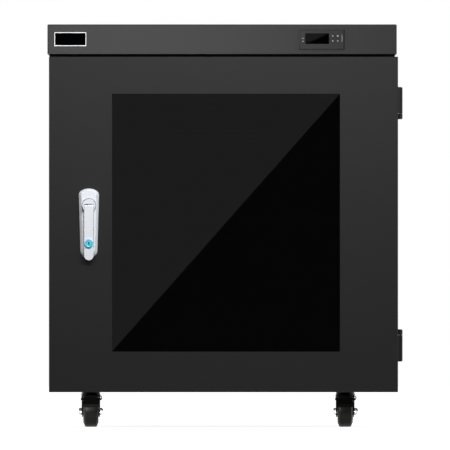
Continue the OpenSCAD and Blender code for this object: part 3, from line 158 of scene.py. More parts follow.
# Quads between neighbouring rows of a grid of points: wrap joins the last column to the first, closed the rows
def gridFaces(rows, cols, wrap=True, closed=False):
    r, c = np.meshgrid(np.arange(rows if closed else rows - 1), np.arange(cols if wrap else cols - 1), indexing="ij")
    r1, c1 = (r + 1) % rows, (c + 1) % cols
    return np.stack([r * cols + c, r * cols + c1, r1 * cols + c1, r1 * cols + c], axis=-1).reshape(-1, 4).tolist()


# Outlines in X and Z, anticlockwise from the front, set one before the other: point = (x, y of the ring, z)
def stacked(rings, ys, closed=False, back=True, front=True):
    rings = np.asarray(rings, float)
    k, m = rings.shape[:2]
    depth = np.broadcast_to(np.asarray(ys, float)[:, None], (k, m))
    points = np.stack([rings[..., 0], depth, rings[..., 1]], axis=-1).reshape(-1, 3)
    faces = gridFaces(k, m, True, closed)
    if back and not closed:
        faces.append(list(range(m))[::-1])
    if front and not closed:
        faces.append(list(range((k - 1) * m, k * m)))
    return points, faces


axes = {
    "front": ((1, 0, 0), (0, 0, 1), (0, -1, 0)), "back": ((0, 0, 1), (1, 0, 0), (0, 1, 0)),
    "right": ((0, 1, 0), (0, 0, 1), (1, 0, 0)), "left": ((0, 0, 1), (0, 1, 0), (-1, 0, 0)),
    "up": ((1, 0, 0), (0, 1, 0), (0, 0, 1)), "down": ((0, 1, 0), (1, 0, 0), (0, 0, -1)),
}


# A turned body: point = centre + along * axis + radius * (cos a * e1 + sin a * e2) for a profile (radius, along)
def turned(profile, centre, axis, sides=48, closed=False, phase=0.0):
    e1, e2, e3 = (np.array(v, float) for v in axes[axis])
    profile = np.asarray(profile, float)
    a = np.linspace(0, 2 * np.pi, sides, endpoint=False) + phase
    around = np.cos(a)[:, None] * e1 + np.sin(a)[:, None] * e2
    points = np.array(centre, float) + profile[:, 0, None, None] * around + profile[:, 1, None, None] * e3
    faces = gridFaces(len(profile), sides, True, closed)
    if not closed:
        faces.append(list(range(sides))[::-1])
        faces.append(list(range((len(profile) - 1) * sides, len(profile) * sides)))
    return points.reshape(-1, 3), faces


# The profile of a round bar from t0 to t1 whose two edges are quarter circles
def softBar(r, t0, t1, edge, steps=4):
    a = np.linspace(0, np.pi / 2, steps)
    low = np.stack([r - edge * (1 - np.sin(a)), t0 + edge * (1 - np.cos(a))], -1)
    high = np.stack([r - edge * (1 - np.cos(a)), t1 - edge * (1 - np.sin(a))], -1)
    return np.concatenate([low, high])


# Insets and depths of a plate's outlines from its back to its front, whose edge is a quarter circle
def softLevels(back, front, edge, steps=4):
    a = np.linspace(0, np.pi / 2, steps)
    sign = np.sign(front - back)
    corner = np.stack([edge * (1 - np.cos(a)), front - sign * edge * (1 - np.sin(a))], -1)
    return np.concatenate([[(0.0, back)], corner])


# A rectangle with round corners, anticlockwise from its lower right corner
def roundRect(cx, cz, w, h, r, steps=6):
    r = max(min(r, w / 2, h / 2), 0.00001)
    loop = []
    for i, (sx, sz) in enumerate(((1, -1), (1, 1), (-1, 1), (-1, -1))):
        a = np.linspace(0, np.pi / 2, steps) + (i - 1) * np.pi / 2
        loop.append(np.stack([cx + sx * (w / 2 - r) + r * np.cos(a), cz + sz * (h / 2 - r) + r * np.sin(a)], -1))
    return np.concatenate(loop)


# A circle, anticlockwise: point = centre + r * (cos a, sin a)
def circleLoop(cx, cz, r, n=48):
    a = np.linspace(0, 2 * np.pi, n, endpoint=False)
    return np.stack([cx + r * np.cos(a), cz + r * np.sin(a)], -1)


# Whether points lie inside a loop, by how many edges a ray to the right crosses
def insideLoop(points, loop):
    a, b = loop, np.roll(loop, -1, axis=0)
    x, z = points[:, 0, None], points[:, 1, None]
    spans = (a[:, 1] > z) != (b[:, 1] > z)
    rise = np.where(b[:, 1] == a[:, 1], 1e-12, b[:, 1] - a[:, 1])
    return (spans & (x < a[:, 0] + (z - a[:, 1]) / rise * (b[:, 0] - a[:, 0]))).sum(axis=1) % 2 == 1


# Triangles that fill an outline round its holes, anticlockwise from the front, with inner points of their own
def filled(outer, holes=(), inner=()):
    loops = [np.asarray(outer, float)] + [np.asarray(h, float) for h in holes]
    edges, start = [], 0
    for loop in loops:
        edges += [(start + i, start + (i + 1) % len(loop)) for i in range(len(loop))]
        start += len(loop)
    flat = np.concatenate(loops + ([np.asarray(inner, float)] if len(inner) else []))
    out, _, triangles, _, _, _ = delaunay_2d_cdt([Vector(p) for p in flat], edges, [], 0, 1e-9)
    out, triangles = np.array([tuple(p) for p in out]), np.array(triangles)
    middle = out[triangles].mean(axis=1)
    keep = insideLoop(middle, loops[0])
    for hole in loops[1:]:
        keep &= ~insideLoop(middle, hole)
    triangles = triangles[keep]
    a, b, c = (out[triangles[:, i]] for i in range(3))
    turn = (b[:, 0] - a[:, 0]) * (c[:, 1] - a[:, 1]) - (b[:, 1] - a[:, 1]) * (c[:, 0] - a[:, 0])
    triangles[turn < 0] = triangles[turn < 0][:, ::-1]
    return out, triangles


# A filled outline at y(x, z), which faces the front, or the back when it is turned
def face(outer, holes, y, inner=(), turn=False):
    out, triangles = filled(outer, holes, inner)
    depth = y(out[:, 0], out[:, 1]) if callable(y) else np.full(len(out), y)
    return np.stack([out[:, 0], depth, out[:, 1]], -1), (triangles[:, ::-1] if turn else triangles).tolist()


# A wall along a loop from its first depth to its second: outwards from back to front, inwards the other way
def wall(loop, y0, y1):
    loop = np.asarray(loop, float)
    depth = [y(loop[:, 0], loop[:, 1]) if callable(y) else np.full(len(loop), y) for y in (y0, y1)]
    points = np.concatenate([np.stack([loop[:, 0], d, loop[:, 1]], -1) for d in depth])
    return points, gridFaces(2, len(loop))


# A flat sign or plate with straight walls
def extruded(outer, back, front, holes=()):
    parts = [face(outer, holes, front), face(outer, holes, back, turn=True), wall(outer, back, front)]
    return joined(parts + [wall(h, front, back) for h in holes])


# Several meshes as one, each (points, faces)
def joined(parts):
    points, faces, start = [], [], 0
    for p, f in parts:
        points.append(np.asarray(p, float))
        faces += [[i + start for i in one] for one in f]
        start += len(p)
    return np.concatenate(points), faces


# A round wire on a path that hardly runs along Y: point = path + radius * (cos a * side + sin a * up), where side is
# square to the path and to Y, and up is square to the path and to side
def wire(path, radius, sides=10):
    path = np.asarray(path, float)
    way = np.gradient(path, axis=0)
    side = np.cross(way, (0, 1, 0))
    up = np.cross(way, side)
    side, up = (v / np.linalg.norm(v, axis=1)[:, None] for v in (side, up))
    a = np.linspace(0, 2 * np.pi, sides, endpoint=False)
    ring = np.cos(a)[None, :, None] * side[:, None] + np.sin(a)[None, :, None] * up[:, None]
    points = (path[:, None] + radius * ring).reshape(-1, 3)
    faces = gridFaces(len(path), sides)
    faces += [list(range(sides))[::-1], list(range((len(path) - 1) * sides, len(path) * sides))]
    return points, faces


# A piece of the scene from parts of (mesh, finish). It rides on a body, names a slot and may replace nodes. Faces that
# are square to an axis stay flat, the others are smooth up to an angle.
def piece(name, parts, body, smooth=35, replaces=()):
    points, faces = joined([p for p, _ in parts])
    mesh = bpy.data.meshes.new(name)
    mesh.from_pydata(points.tolist(), [], faces)
    names = list(dict.fromkeys(f for _, f in parts))
    for f in names:
        mesh.materials.append(mats[f])
    counts = [len(p[1]) for p, _ in parts]
    index = np.repeat([names.index(f) for _, f in parts], counts)
    mesh.polygons.foreach_set("material_index", index)
    work = bmesh.new()
    work.from_mesh(mesh)
    bmesh.ops.remove_doubles(work, verts=work.verts, dist=1e-7)
    bmesh.ops.dissolve_degenerate(work, edges=work.edges, dist=1e-8)
    work.to_mesh(mesh)
    work.free()
    normals = np.empty(len(mesh.polygons) * 3, np.float32)
    mesh.polygons.foreach_get("normal", normals)
    slanted = np.abs(normals.reshape(-1, 3)).max(axis=1) < 0.99999
    mesh.set_sharp_from_angle(angle=math.radians(smooth))
    mesh.polygons.foreach_set("use_smooth", slanted)
    obj = bpy.data.objects.new(name, mesh)
    bpy.context.scene.collection.objects.link(obj)
    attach(obj, body)
    if replaces:
        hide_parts(*replaces)
    return obj


# Rounds the edges that are sharper than an angle
def softEdges(obj, width, angle=50):
    bevel = obj.modifiers.new("softEdges", "BEVEL")
    bevel.width = width
    bevel.segments = 3
    bevel.limit_method = "ANGLE"
    bevel.angle_limit = math.radians(angle)
    bevel.use_clamp_overlap = True


# The middle of a node's box
def middle(node):
    low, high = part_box(node)
    return [(a + b) / 2 for a, b in zip(low, high)]


# The badge: a bright frame round a bare black field
badge = {"rim": 1.5 * mm, "edge": 0.4 * mm, "corner": 1.3 * mm, "sink": 0.45 * mm, "fieldEdge": 0.3 * mm,
         "fieldCorner": 0.4 * mm, "bed": 0.1 * mm, "trimRight": 1.5 * mm, "trimLow": 0.8 * mm}
low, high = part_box("badge_plate")
cx, cz = middle("badge_plate")[0] - badge["trimRight"] / 2, middle("badge_plate")[2] + badge["trimLow"] / 2
w, h = high[0] - low[0] - badge["trimRight"], high[2] - low[2] - badge["trimLow"]
back, front, rim, edge = high[1], low[1], badge["rim"], badge["edge"]
profile = [(0, back), (0, front + edge), (0.3 * edge, front + 0.3 * edge), (edge, front), (rim - edge, front),
           (rim - 0.3 * edge, front + 0.3 * edge), (rim, front + edge), (rim, back)]
rings = [roundRect(cx, cz, w - 2 * i, h - 2 * i, badge["corner"] - 0.6 * i) for i, _ in profile]
badgeFrame = stacked(rings, [y for _, y in profile], closed=True)
levels = softLevels(back - badge["bed"], front + badge["sink"], badge["fieldEdge"])
rings = [roundRect(cx, cz, w - 2 * rim - 2 * i, h - 2 * rim - 2 * i, badge["fieldCorner"]) for i, _ in levels]
badgeField = stacked(rings, levels[:, 1])
piece("badgeFrame", [(badgeFrame, "badge_silver")], "cabinet", replaces=["badge_plate"])
piece("badgeField", [(badgeField, "badgeBlack")], "cabinet")
print("badge made")

# The controller: a frame with a raised rim, a sunk face with the display and four round buttons
console = {"rim": 1.5 * mm, "edge": 0.6 * mm, "corner": 1.6 * mm, "slope": 0.5 * mm, "sink": 0.6 * mm,
           "play": 0.12 * mm, "print": 0.06 * mm, "paneCorner": 0.3 * mm, "paneEdge": 0.25 * mm}
button = {"r": 3.25 * mm, "edge": 0.5 * mm, "sunk": 0.12 * mm, "sign": 1.5 * mm, "relief": 0.05 * mm,
          "flange": 0.6 * mm}
low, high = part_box("controller_bezel")
cx, _, cz = middle("controller_bezel")
w, h = high[0] - low[0], high[2] - low[2]
back, front, edge = high[1], low[1], console["edge"]
sunk = front + console["sink"]
lensLow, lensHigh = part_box("display_lens")
lensX, _, lensZ = middle("display_lens")
lensW, lensH = lensHigh[0] - lensLow[0], lensHigh[2] - lensLow[2]
buttonNames = ["top_left", "top_right", "low_left", "low_right"]
buttonAt = {n: middle("button_" + n) for n in buttonNames}
bezelHole = button["r"] + console["play"]
levels = [(0, back), (0, front + edge), (0.3 * edge, front + 0.3 * edge), (edge, front), (console["rim"], front),
          (console["rim"] + console["slope"], sunk)]
rings = [roundRect(cx, cz, w - 2 * i, h - 2 * i, console["corner"] - 0.5 * i) for i, _ in levels]
holes = [roundRect(lensX, lensZ, lensW + 2 * console["play"], lensH + 2 * console["play"], console["paneCorner"])]
holes += [circleLoop(p[0], p[2], bezelHole, 32) for p in buttonAt.values()]
parts = [stacked(rings, [y for _, y in levels], back=False, front=False), face(rings[-1], holes, sunk),
         face(rings[0], holes, back, turn=True)] + [wall(hole, sunk, back) for hole in holes]
piece("consoleFrame", [(joined(parts), "consoleGrey")], "cabinet", replaces=["controller_bezel"])
levels = softLevels(lensHigh[1], lensLow[1], console["paneEdge"])
rings = [roundRect(lensX, lensZ, lensW - 2 * i, lensH - 2 * i, console["paneCorner"]) for i, _ in levels]
pane = stacked(rings, levels[:, 1])
piece("displayPane", [(pane, "display_black")], "cabinet", replaces=["display_lens"])

# The signs on the console: two bars left of the display, a line that bends round the buttons
signs = {"barW": 2.6 * mm, "barH": 0.9 * mm, "barX": 4.2 * mm, "barZ": (0.4 * mm, -4.6 * mm), "barCorner": 0.3 * mm,
         "arcX": 10.4 * mm, "arcH": 13 * mm, "arcBow": 1.5 * mm, "arcW": 0.55 * mm}
barX = lensX - lensW / 2 - signs["barX"]
bars = [roundRect(barX, lensZ + z, signs["barW"], signs["barH"], signs["barCorner"], 3) for z in signs["barZ"]]
printed = [extruded(bar, sunk, sunk - console["print"]) for bar in bars]
# The line runs up at x = middle + bow * (1 - t^2) and thins by 1 - 0.6 t^2 towards its ends
t = np.linspace(-1, 1, 17)
buttonsX = (buttonAt["top_left"][0] + buttonAt["top_right"][0]) / 2
buttonsZ = (buttonAt["top_left"][2] + buttonAt["low_left"][2]) / 2
bowX = buttonsX + signs["arcX"] + signs["arcBow"] * (1 - t * t)
bowZ = buttonsZ + signs["arcH"] / 2 * t
halfLine = signs["arcW"] / 2 * (1 - 0.6 * t * t)
outline = np.concatenate([np.stack([bowX + halfLine, bowZ], -1), np.stack([bowX - halfLine, bowZ], -1)[::-1]])
printed.append(extruded(outline, sunk, sunk - console["print"]))
piece("consoleSigns", [(joined(printed), "printLight")], "cabinet", smooth=20)

# The buttons: a domed cap on a flanged stem, each with its own raised sign
a = np.linspace(0, 2 * np.pi, 3, endpoint=False) + np.pi / 2
up = np.stack([np.cos(a), np.sin(a)], -1)
signLoops = {
    "top_left": (up, []), "low_left": (up[::-1] * (1, -1), []),
    "top_right": (circleLoop(0, 0, 1, 24), [circleLoop(0, 0, 0.5, 24)]),
    "low_right": (roundRect(0, 0, 1.9, 0.7, 0.2, 3), []),
}
for name, at in buttonAt.items():
    node = "button_" + name
    low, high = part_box(node)
    flange = (high[0] - low[0]) / 2
    front, back = low[1], high[1]
    top = back - front - button["sunk"]
    stem = [(flange, 0.0), (flange, button["flange"]), (button["r"], button["flange"])]
    profile = np.concatenate([stem, softBar(button["r"], 0, top, button["edge"])[4:]])
    cap = turned(profile, (at[0], back, at[2]), "front", 40)
    outer, holes = signLoops[name]
    outer, *holes = (loop * button["sign"] + (at[0], at[2]) for loop in [outer] + holes)
    sign = extruded(outer, front + button["sunk"] + button["relief"], front, holes)
    parts = [(cap, "button_plastic"), (sign, "printLight")]
    piece("cap_" + name, parts, bodyOf[node], replaces=[node])
print("controller made")

# The dish of the swing handle. Its height grows from a wall at the rim over a bevel to the flat face, and a
# well shaped like a keyhole is sunk into the face: a round part round the boss, a straight one round the lever.
dish = {"wall": 3.0 * mm, "bevel": 4.6 * mm, "crown": 11 * mm, "corner": 6.2 * mm, "taper": 2.9 * mm,
        "squash": 0.75, "heel": 2.5 * mm, "wellGap": 1.0 * mm, "wellDepth": 2.6 * mm, "wellLow": 8.5 * mm,
        "slotGap": 0.55 * mm}
dishLow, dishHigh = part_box("lock_dish")
bossLow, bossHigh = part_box("handle_boss")
leverLow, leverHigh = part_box("handle_lever")
lockX = (dishLow[0] + dishHigh[0]) / 2
bossR = (bossHigh[0] - bossLow[0]) / 2
lockZ = bossHigh[2] - bossR
leverW = (leverHigh[0] - leverLow[0]) / 2


# A quadratic curve from a to c that leans to b, at the shares t
def bend(a, b, c, t):
    a, b, c, t = np.array(a), np.array(b), np.array(c), np.asarray(t)[:, None]
    return (1 - t) ** 2 * a + 2 * t * (1 - t) * b + t * t * c


# The dish's outline, drawn in from its rim by an inset: half of it is a flat elliptic crown, a side that leans in,
# a slanted corner between two bends and the low end, and the other half mirrors it
def dishOutline(inset):
    topW = (dishHigh[0] - dishLow[0]) / 2 - inset
    lowW = topW - dish["taper"]
    shoulder = dishHigh[2] - dish["crown"]
    low = dishLow[2] + inset
    cut = dish["corner"]
    a = np.linspace(0, np.pi / 2, 22)
    crown = np.stack([topW * np.sin(a), shoulder + (dish["crown"] - inset * dish["squash"]) * np.cos(a)], -1)
    s = np.linspace(0.08, 0.93, 9)[:, None]
    side = np.array([topW, shoulder]) * (1 - s) + np.array([lowW, low + cut]) * s
    heel = (lowW - cut / 2, low + cut / 2)
    sideEnd = np.array([topW, shoulder]) * 0.05 + np.array([lowW, low + cut]) * 0.95
    first = bend(sideEnd, (lowW, low + cut), heel, np.linspace(0, 1, 6))
    second = bend(heel, (lowW - cut, low), (lowW - cut - dish["heel"], low), np.linspace(0.2, 1, 5))
    half = np.concatenate([crown, side, first, second, [(0.0, low)]])
    loop = np.concatenate([half, (half[1:-1] * (-1, 1))[::-1]])[::-1]
    return loop + (lockX, 0)


# A keyhole: an arc of radius r about the boss, then a slot of half width c whose round end lies at low
def keyhole(r, c, low, n=56):
    lean = math.asin(c / r)
    a = np.linspace(-np.pi / 2 + lean, 1.5 * np.pi - lean, n)
    b = np.linspace(np.pi, 2 * np.pi, 20)
    return np.concatenate([np.stack([lockX + r * np.cos(a), lockZ + r * np.sin(a)], -1),
                           np.stack([lockX + c * np.cos(b), low + c + c * np.sin(b)], -1)])


base, flat = dishHigh[1], dishLow[1]
wallTop = base - dish["wall"]
share = np.linspace(0.12, 0.86, 6)
levels = [(0.0, base), (0.0, wallTop + 0.5 * mm), (0.08 * mm, wallTop + 0.15 * mm), (0.35 * mm, wallTop - 0.25 * mm)]
levels += list(zip(dish["bevel"] * share, wallTop + (flat - wallTop) * (share + 0.03)))
levels += [(dish["bevel"] * i, flat + y * mm) for i, y in ((0.94, 0.35), (1.02, 0.08), (1.12, 0))]
rings = [dishOutline(inset) for inset, _ in levels]
well = keyhole(bossR + dish["wellGap"], leverW + dish["slotGap"], dishLow[2] + dish["wellLow"])
floorY = flat + dish["wellDepth"]
skin = joined([stacked(rings, [y for _, y in levels], front=False), face(rings[-1], [well], flat)])
# The well's walls and floor take a darker grey than the dish: painted shade in the seam round the boss and the lever
inside = joined([wall(well, flat, floorY), face(well, [], floorY)])
piece("dishCast", [(skin, "handle_cast"), (inside, "wellPaintedShade")], "door", 28, ["lock_dish"])
print("dish made")

# The boss: a round cap whose two cheeks hold the lever, on a base disc and a spindle with a square end
boss = {"base": 2.0 * mm, "baseEdge": 0.2 * mm, "gap": 0.3 * mm, "edge": 0.8 * mm, "spindleR": 6 * mm,
        "spindleEdge": 0.3 * mm, "square": 8 * mm, "squareLen": 4 * mm, "boreR": 3.05 * mm, "lap": 0.05 * mm}
slotC = leverW + boss["gap"]
slotTop = leverHigh[2] + boss["gap"]
bossFront = bossLow[1]
bossBack = flat - boss["gap"]
lean = math.acos(slotC / bossR)
a = np.linspace(-lean, np.pi + lean, 60)
cheeks = np.concatenate([np.stack([lockX + bossR * np.cos(a), lockZ + bossR * np.sin(a)], -1),
                         [(lockX - slotC, slotTop), (lockX + slotC, slotTop)]])
cap = extruded(cheeks, bossBack - boss["base"] + boss["lap"], bossFront)
baseDisc = turned(softBar(bossR, 0, boss["base"], boss["baseEdge"]), (lockX, bossBack, lockZ), "front", 64)
spindleEnd = bossHigh[1]
profile = softBar(boss["spindleR"], 0, spindleEnd - bossBack - boss["squareLen"], boss["spindleEdge"])
spindle = turned(profile, (lockX, bossBack, lockZ), "back", 40)
outline = roundRect(lockX, lockZ, boss["square"], boss["square"], boss["spindleEdge"], 3)
bore = circleLoop(lockX, lockZ, boss["boreR"], 32)
square = extruded(outline, spindleEnd, spindleEnd - boss["squareLen"], [bore])
softEdges(piece("bossCap", [(cap, "handle_cast")], "spindle"), boss["edge"])
piece("bossSpindle", [(joined([baseDisc, spindle, square]), "handle_cast")], "spindle",
      replaces=["handle_boss"])
print("boss made")

# The lever: a bar whose front is y = swell(z) + crown * (2 x / width)^2, with a round tip. Above its pin the front
# keeps inside the circle (z - pinZ)^2 + (y - pinY)^2 = knuckle^2 and the back inside a smaller one, so that it
# clears the boss when it lifts.
lever = {"crown": 0.9 * mm, "edge": 1.1 * mm, "swell": 3.0 * mm, "nose": 1.6 * mm, "noseLen": 6 * mm, "foot": 2 * mm,
         "footRun": 3 * mm, "footRise": 2.75 * mm, "backPlay": 0.02 * mm, "knuckleBack": 2.9 * mm, "topPlay": 0.4 * mm,
         "holePlay": 0.05 * mm}
sleeveLow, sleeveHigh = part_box("lock_sleeve")
sleeveR = (sleeveHigh[0] - sleeveLow[0]) / 2
sleeveZ = (sleeveLow[2] + sleeveHigh[2]) / 2
leverTop = leverHigh[2] - lever["topPlay"]
tipZ = leverLow[2]
lift = next(j for j in frame["record"]["behaviour"]["joints"] if j["name"] == "lever_lift")
pinY, pinZ = lift["pos_m"][1:]
knuckle = leverTop - pinZ


def leverFront(x, z):
    up = np.clip((z - tipZ) / (leverTop - tipZ), 0, 1)
    nose = np.clip(1 - (z - tipZ) / lever["noseLen"], 0, None)
    crown = lever["crown"] * ((x - lockX) / leverW) ** 2
    y = leverLow[1] + lever["swell"] * up ** 1.4 + crown + lever["nose"] * nose ** 2
    return np.maximum(y, pinY - np.sqrt(np.clip(knuckle ** 2 - np.clip(z - pinZ, 0, None) ** 2, 0, None)))


# The back is flat, and steps forward over a short ramp where it enters the boss
def leverBack(x, z):
    ramp = np.clip((z - (lockZ - bossR - lever["foot"])) / lever["footRun"], 0, 1)
    y = leverHigh[1] - lever["backPlay"] - ramp * lever["footRise"]
    reach = leverHigh[1] - lever["knuckleBack"] - pinY
    return np.where(z > pinZ, np.minimum(y, pinY + np.sqrt(np.clip(reach ** 2 - (z - pinZ) ** 2, 0, None))), y)


a = np.linspace(-np.pi / 2, np.pi / 2, 30)
tip = np.stack([lockX + leverW * np.sin(a), tipZ + leverW - leverW * np.cos(a)], -1)
rounded = leverTop - np.array([3.2, 2.2, 1.3, 0.6, 0.2, 0]) * mm
zs = np.concatenate([np.linspace(tipZ + leverW, leverTop - 4.5 * mm, 22), rounded])
top = np.stack([lockX + leverW * np.array([0.66, 0.33, 0, -0.33, -0.66]), np.full(5, leverTop)], -1)
outline = np.concatenate([tip, np.stack([np.full(len(zs) - 1, lockX + leverW), zs[1:]], -1), top,
                          np.stack([np.full(len(zs) - 1, lockX - leverW), zs[::-1][:-1]], -1)])
hole = circleLoop(lockX, sleeveZ, sleeveR + lever["holePlay"], 56)
rows = np.concatenate([np.arange(tipZ + 3 * mm, leverTop - 4.5 * mm, 3 * mm), rounded[:-1]])
gridX, gridZ = np.meshgrid(lockX + leverW * np.linspace(-0.8, 0.8, 7), rows)
inner = np.stack([gridX.ravel(), gridZ.ravel()], -1)
# The inner points that shape its faces keep clear of the lock's hole and of the round tip
room = np.hypot(inner[:, 0] - lockX, inner[:, 1] - sleeveZ) > sleeveR + 0.8 * mm
room &= inner[:, 1] > tipZ + leverW * (1 - np.sqrt(np.clip(0.9 - ((inner[:, 0] - lockX) / leverW) ** 2, 0, None)))
inner = inner[room]
parts = [face(outline, [hole], leverFront, inner), face(outline, [hole], leverBack, inner, turn=True),
         wall(outline, leverBack, leverFront), wall(hole, leverFront, leverBack)]
cast = piece("leverCast", [(joined(parts), "handle_cast")], "lever", replaces=["handle_lever"])
softEdges(cast, lever["edge"])
print("lever made")

# The lock: a bright sleeve, and in it a core whose face has a sunk oval round the key slot
lock = {"play": 0.12 * mm, "edge": 0.5 * mm, "ovalW": 2.7 * mm, "ovalH": 4.8 * mm, "sink": 0.8 * mm,
        "slotW": 1.3 * mm, "slotH": 4.0 * mm, "slotCorner": 0.4 * mm, "slotDeep": 3 * mm}
coreLow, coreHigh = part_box("lock_core")
coreR = (coreHigh[0] - coreLow[0]) / 2
inR, back, front = coreR + lock["play"], sleeveHigh[1], sleeveLow[1]
depth = back - front
profile = [(inR, 1 * mm), (sleeveR, 0.0), (sleeveR, depth - 0.6 * mm), (sleeveR - 0.15 * mm, depth - 0.15 * mm),
           (sleeveR - 0.7 * mm, depth), (inR + 0.9 * mm, depth), (inR + 0.35 * mm, depth - 0.2 * mm),
           (inR, depth - 0.7 * mm)]
sleeve = turned(profile, (lockX, back, sleeveZ), "front", 64, closed=True)
piece("sleeveRing", [(sleeve, "lock_cyan")], "lever", replaces=["lock_sleeve"])
coreBack, coreFront = coreHigh[1], coreLow[1]
levels = softLevels(coreBack, coreFront, lock["edge"])
rings = [circleLoop(lockX, sleeveZ, coreR - i, 48) for i, _ in levels]
oval = circleLoop(0, 0, 0.5, 40) * (lock["ovalW"], lock["ovalH"]) + (lockX, sleeveZ)
sunkY = coreFront + lock["sink"]
slotY = sunkY + lock["slotDeep"]
slot = roundRect(lockX, sleeveZ, lock["slotW"], lock["slotH"], lock["slotCorner"], 3)
shell = stacked(rings, levels[:, 1], front=False)
rim = joined([shell, face(rings[-1], [oval], coreFront), wall(oval, coreFront, sunkY)])
plate = joined([face(oval, [slot], sunkY), wall(slot, sunkY, slotY), face(slot, [], slotY)])
piece("coreFace", [(rim, "lock_cyan"), (plate, "keyBrass")], "key_core", replaces=["lock_core"])
print("lock made")

# The door's gasket: a bulb on a flat foot, run round the door's rear
gasket = {"corner": 3 * mm, "shrink": 0.2}
low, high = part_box("door_gasket")
cx, _, cz = middle("door_gasket")
w, h = high[0] - low[0], high[2] - low[2]
door, free = low[1], high[1]
profile = [(3.2, 0.95), (2.2, 0.7), (1.5, 0.33), (0, 0.27), (0, 0), (12, 0), (12, 0.25), (11.2, 0.28), (10.6, 0.55),
           (10.2, 0.9), (9, 1), (4.6, 1)]  # inset in mm, share of the height
insets = [i * mm for i, _ in profile]
rings = [roundRect(cx, cz, w - 2 * i, h - 2 * i, gasket["corner"] - gasket["shrink"] * i) for i in insets]
bulb = stacked(rings, [door + share * (free - door) for _, share in profile], closed=True)
piece("gasketBulb", [(bulb, "seal_rubber")], "door", replaces=["door_gasket"])
print("gasket made")

# The casters: wheels with ribs and soft treads, chrome axle bolts, and the spring wires of the front brakes
wheel = {"ribs": 8, "ribT": 1.6 * mm, "ribLap": 0.5 * mm, "ribSunk": 2.6 * mm, "hubR": 8 * mm, "hubEdge": 0.5 * mm,
         "boreR": 3.1 * mm, "web": 5.2 * mm, "hubOut": 0.5 * mm, "treadT": 8 * mm, "treadSunk": 2.2 * mm,
         "shoulder": 3.2 * mm}
axle = {"pinR": 3 * mm, "pinEdge": 0.5 * mm, "pinInset": 1.2 * mm, "legOut": 2.6 * mm, "nutLen": 4.6 * mm}
race = {"r": 14.5 * mm, "under": 2.3 * mm, "over": 1.4 * mm, "edge": 0.4 * mm}
spring = {"wireR": 0.8 * mm, "x": 2.8 * mm, "z": 3.5 * mm, "out": 2.2 * mm, "back": 1.5 * mm, "run": 2.4 * mm,
          "high": 49.9 * mm, "start": math.radians(150), "turn": math.radians(222)}


# A wheel's outline as (radius, along): from the bore over the web to the tread, and mirrored on the other side
def wheelProfile(r, half):
    side = half - wheel["hubOut"]
    rimR = r - wheel["treadT"]
    hub = [(wheel["boreR"], half), (wheel["hubR"] - wheel["hubEdge"], half), (wheel["hubR"], half - wheel["hubEdge"])]
    rim = [(rimR + i * mm, side - y * mm) for i, y in ((0, 0.6), (0.6, 0), (3, 0.9), (3.6, 1.4))]
    a = np.linspace(np.pi / 2, 0, 5)
    edge = np.stack([r - wheel["shoulder"] * (1 - np.cos(a)),
                     side - wheel["treadSunk"] - wheel["shoulder"] * (1 - np.sin(a))], -1)
    right = np.array(hub + [(wheel["hubR"], wheel["web"] / 2), (rimR, wheel["web"] / 2)] + rim + edge.tolist())
    return np.concatenate([right * (1, -1), right[::-1]])


# The ribs on both sides of the web, boxes that are turned about the axle:
# point = centre + (x, q * cos turn - v * sin turn, q * sin turn + v * cos turn)
def wheelRibs(at, r, half):
    x, q, v = (g.ravel() for g in np.meshgrid(
        (wheel["web"] / 2 - 0.2 * mm, half - wheel["hubOut"] - wheel["ribSunk"]),
        (wheel["hubR"] - wheel["ribLap"], r - wheel["treadT"] + wheel["ribLap"]),
        (-wheel["ribT"] / 2, wheel["ribT"] / 2), indexing="ij"))
    turn = 2 * np.pi * np.arange(wheel["ribs"])[:, None, None] / wheel["ribs"]
    x = np.array([-1, 1])[:, None] * x
    y, z = q * np.cos(turn) - v * np.sin(turn), q * np.sin(turn) + v * np.cos(turn)
    points = np.stack(np.broadcast_arrays(x, y, z), -1).reshape(-1, 3) + at
    quads = np.array([[0, 1, 3, 2], [4, 6, 7, 5], [0, 4, 5, 1], [2, 3, 7, 6], [0, 2, 6, 4], [1, 5, 7, 3]])
    pair = np.concatenate([quads[:, ::-1], quads + 8])
    return points, (pair + 16 * np.arange(wheel["ribs"])[:, None, None]).reshape(-1, 4).tolist()


# A bolt's head or its nut: a washer, a waist and a rounded end, as (radius, along)
def boltEnd(length, washer, waist, rounded, flatR, bore):
    foot = [(3, 0), (5, 0), (5, washer), (waist, washer + 0.1)]
    end = [(waist, -0.9), (rounded, -0.35), (flatR, 0), (bore, 0)]
    return [(r * mm, t * mm) for r, t in foot] + [(r * mm, length + t * mm) for r, t in end]


joints = frame["record"]["behaviour"]["joints"]
swivels = {j["child"]: np.array(j["pos_m"]) for j in joints if j["name"].endswith("_swivel")}
wheelNames = ["front_left", "front_right", "rear_left", "rear_right"]
for corner in wheelNames:
    node = corner + "_wheel"
    low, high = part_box(node)
    at = middle(node)
    half, r = (high[0] - low[0]) / 2, (high[2] - low[2]) / 2
    ring = turned(wheelProfile(r, half), at, "right", 72, closed=True)
    tread = joined([ring, wheelRibs(at, r, half)])
    piece(corner + "_tread", [(tread, "wheel_nylon")], bodyOf[node], 40, [node])
    node = corner + "_axle"
    low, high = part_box(node)
    axleX, (y, z) = at[0], middle(node)[1:]
    legOut = half - wheel["hubOut"] + axle["legOut"]
    profile = softBar(axle["pinR"], 0, high[0] - low[0] - axle["pinInset"], axle["pinEdge"])
    pin = turned(profile, (low[0] + axle["pinInset"], y, z), "right", 32)
    headLen = axleX - legOut - low[0]
    head = turned(boltEnd(headLen, 0.9, 4.3, 3.9, 3.2, 0.4), (axleX - legOut, y, z), "left", 40)
    nut = turned(boltEnd(axle["nutLen"], 0.8, 4.4, 4.0, 3.4, 2.9), (axleX + legOut, y, z), "right", 40)
    piece(corner + "_bolt", [(joined([pin, head, nut]), "axleChrome")], bodyOf[node], 30, [node])
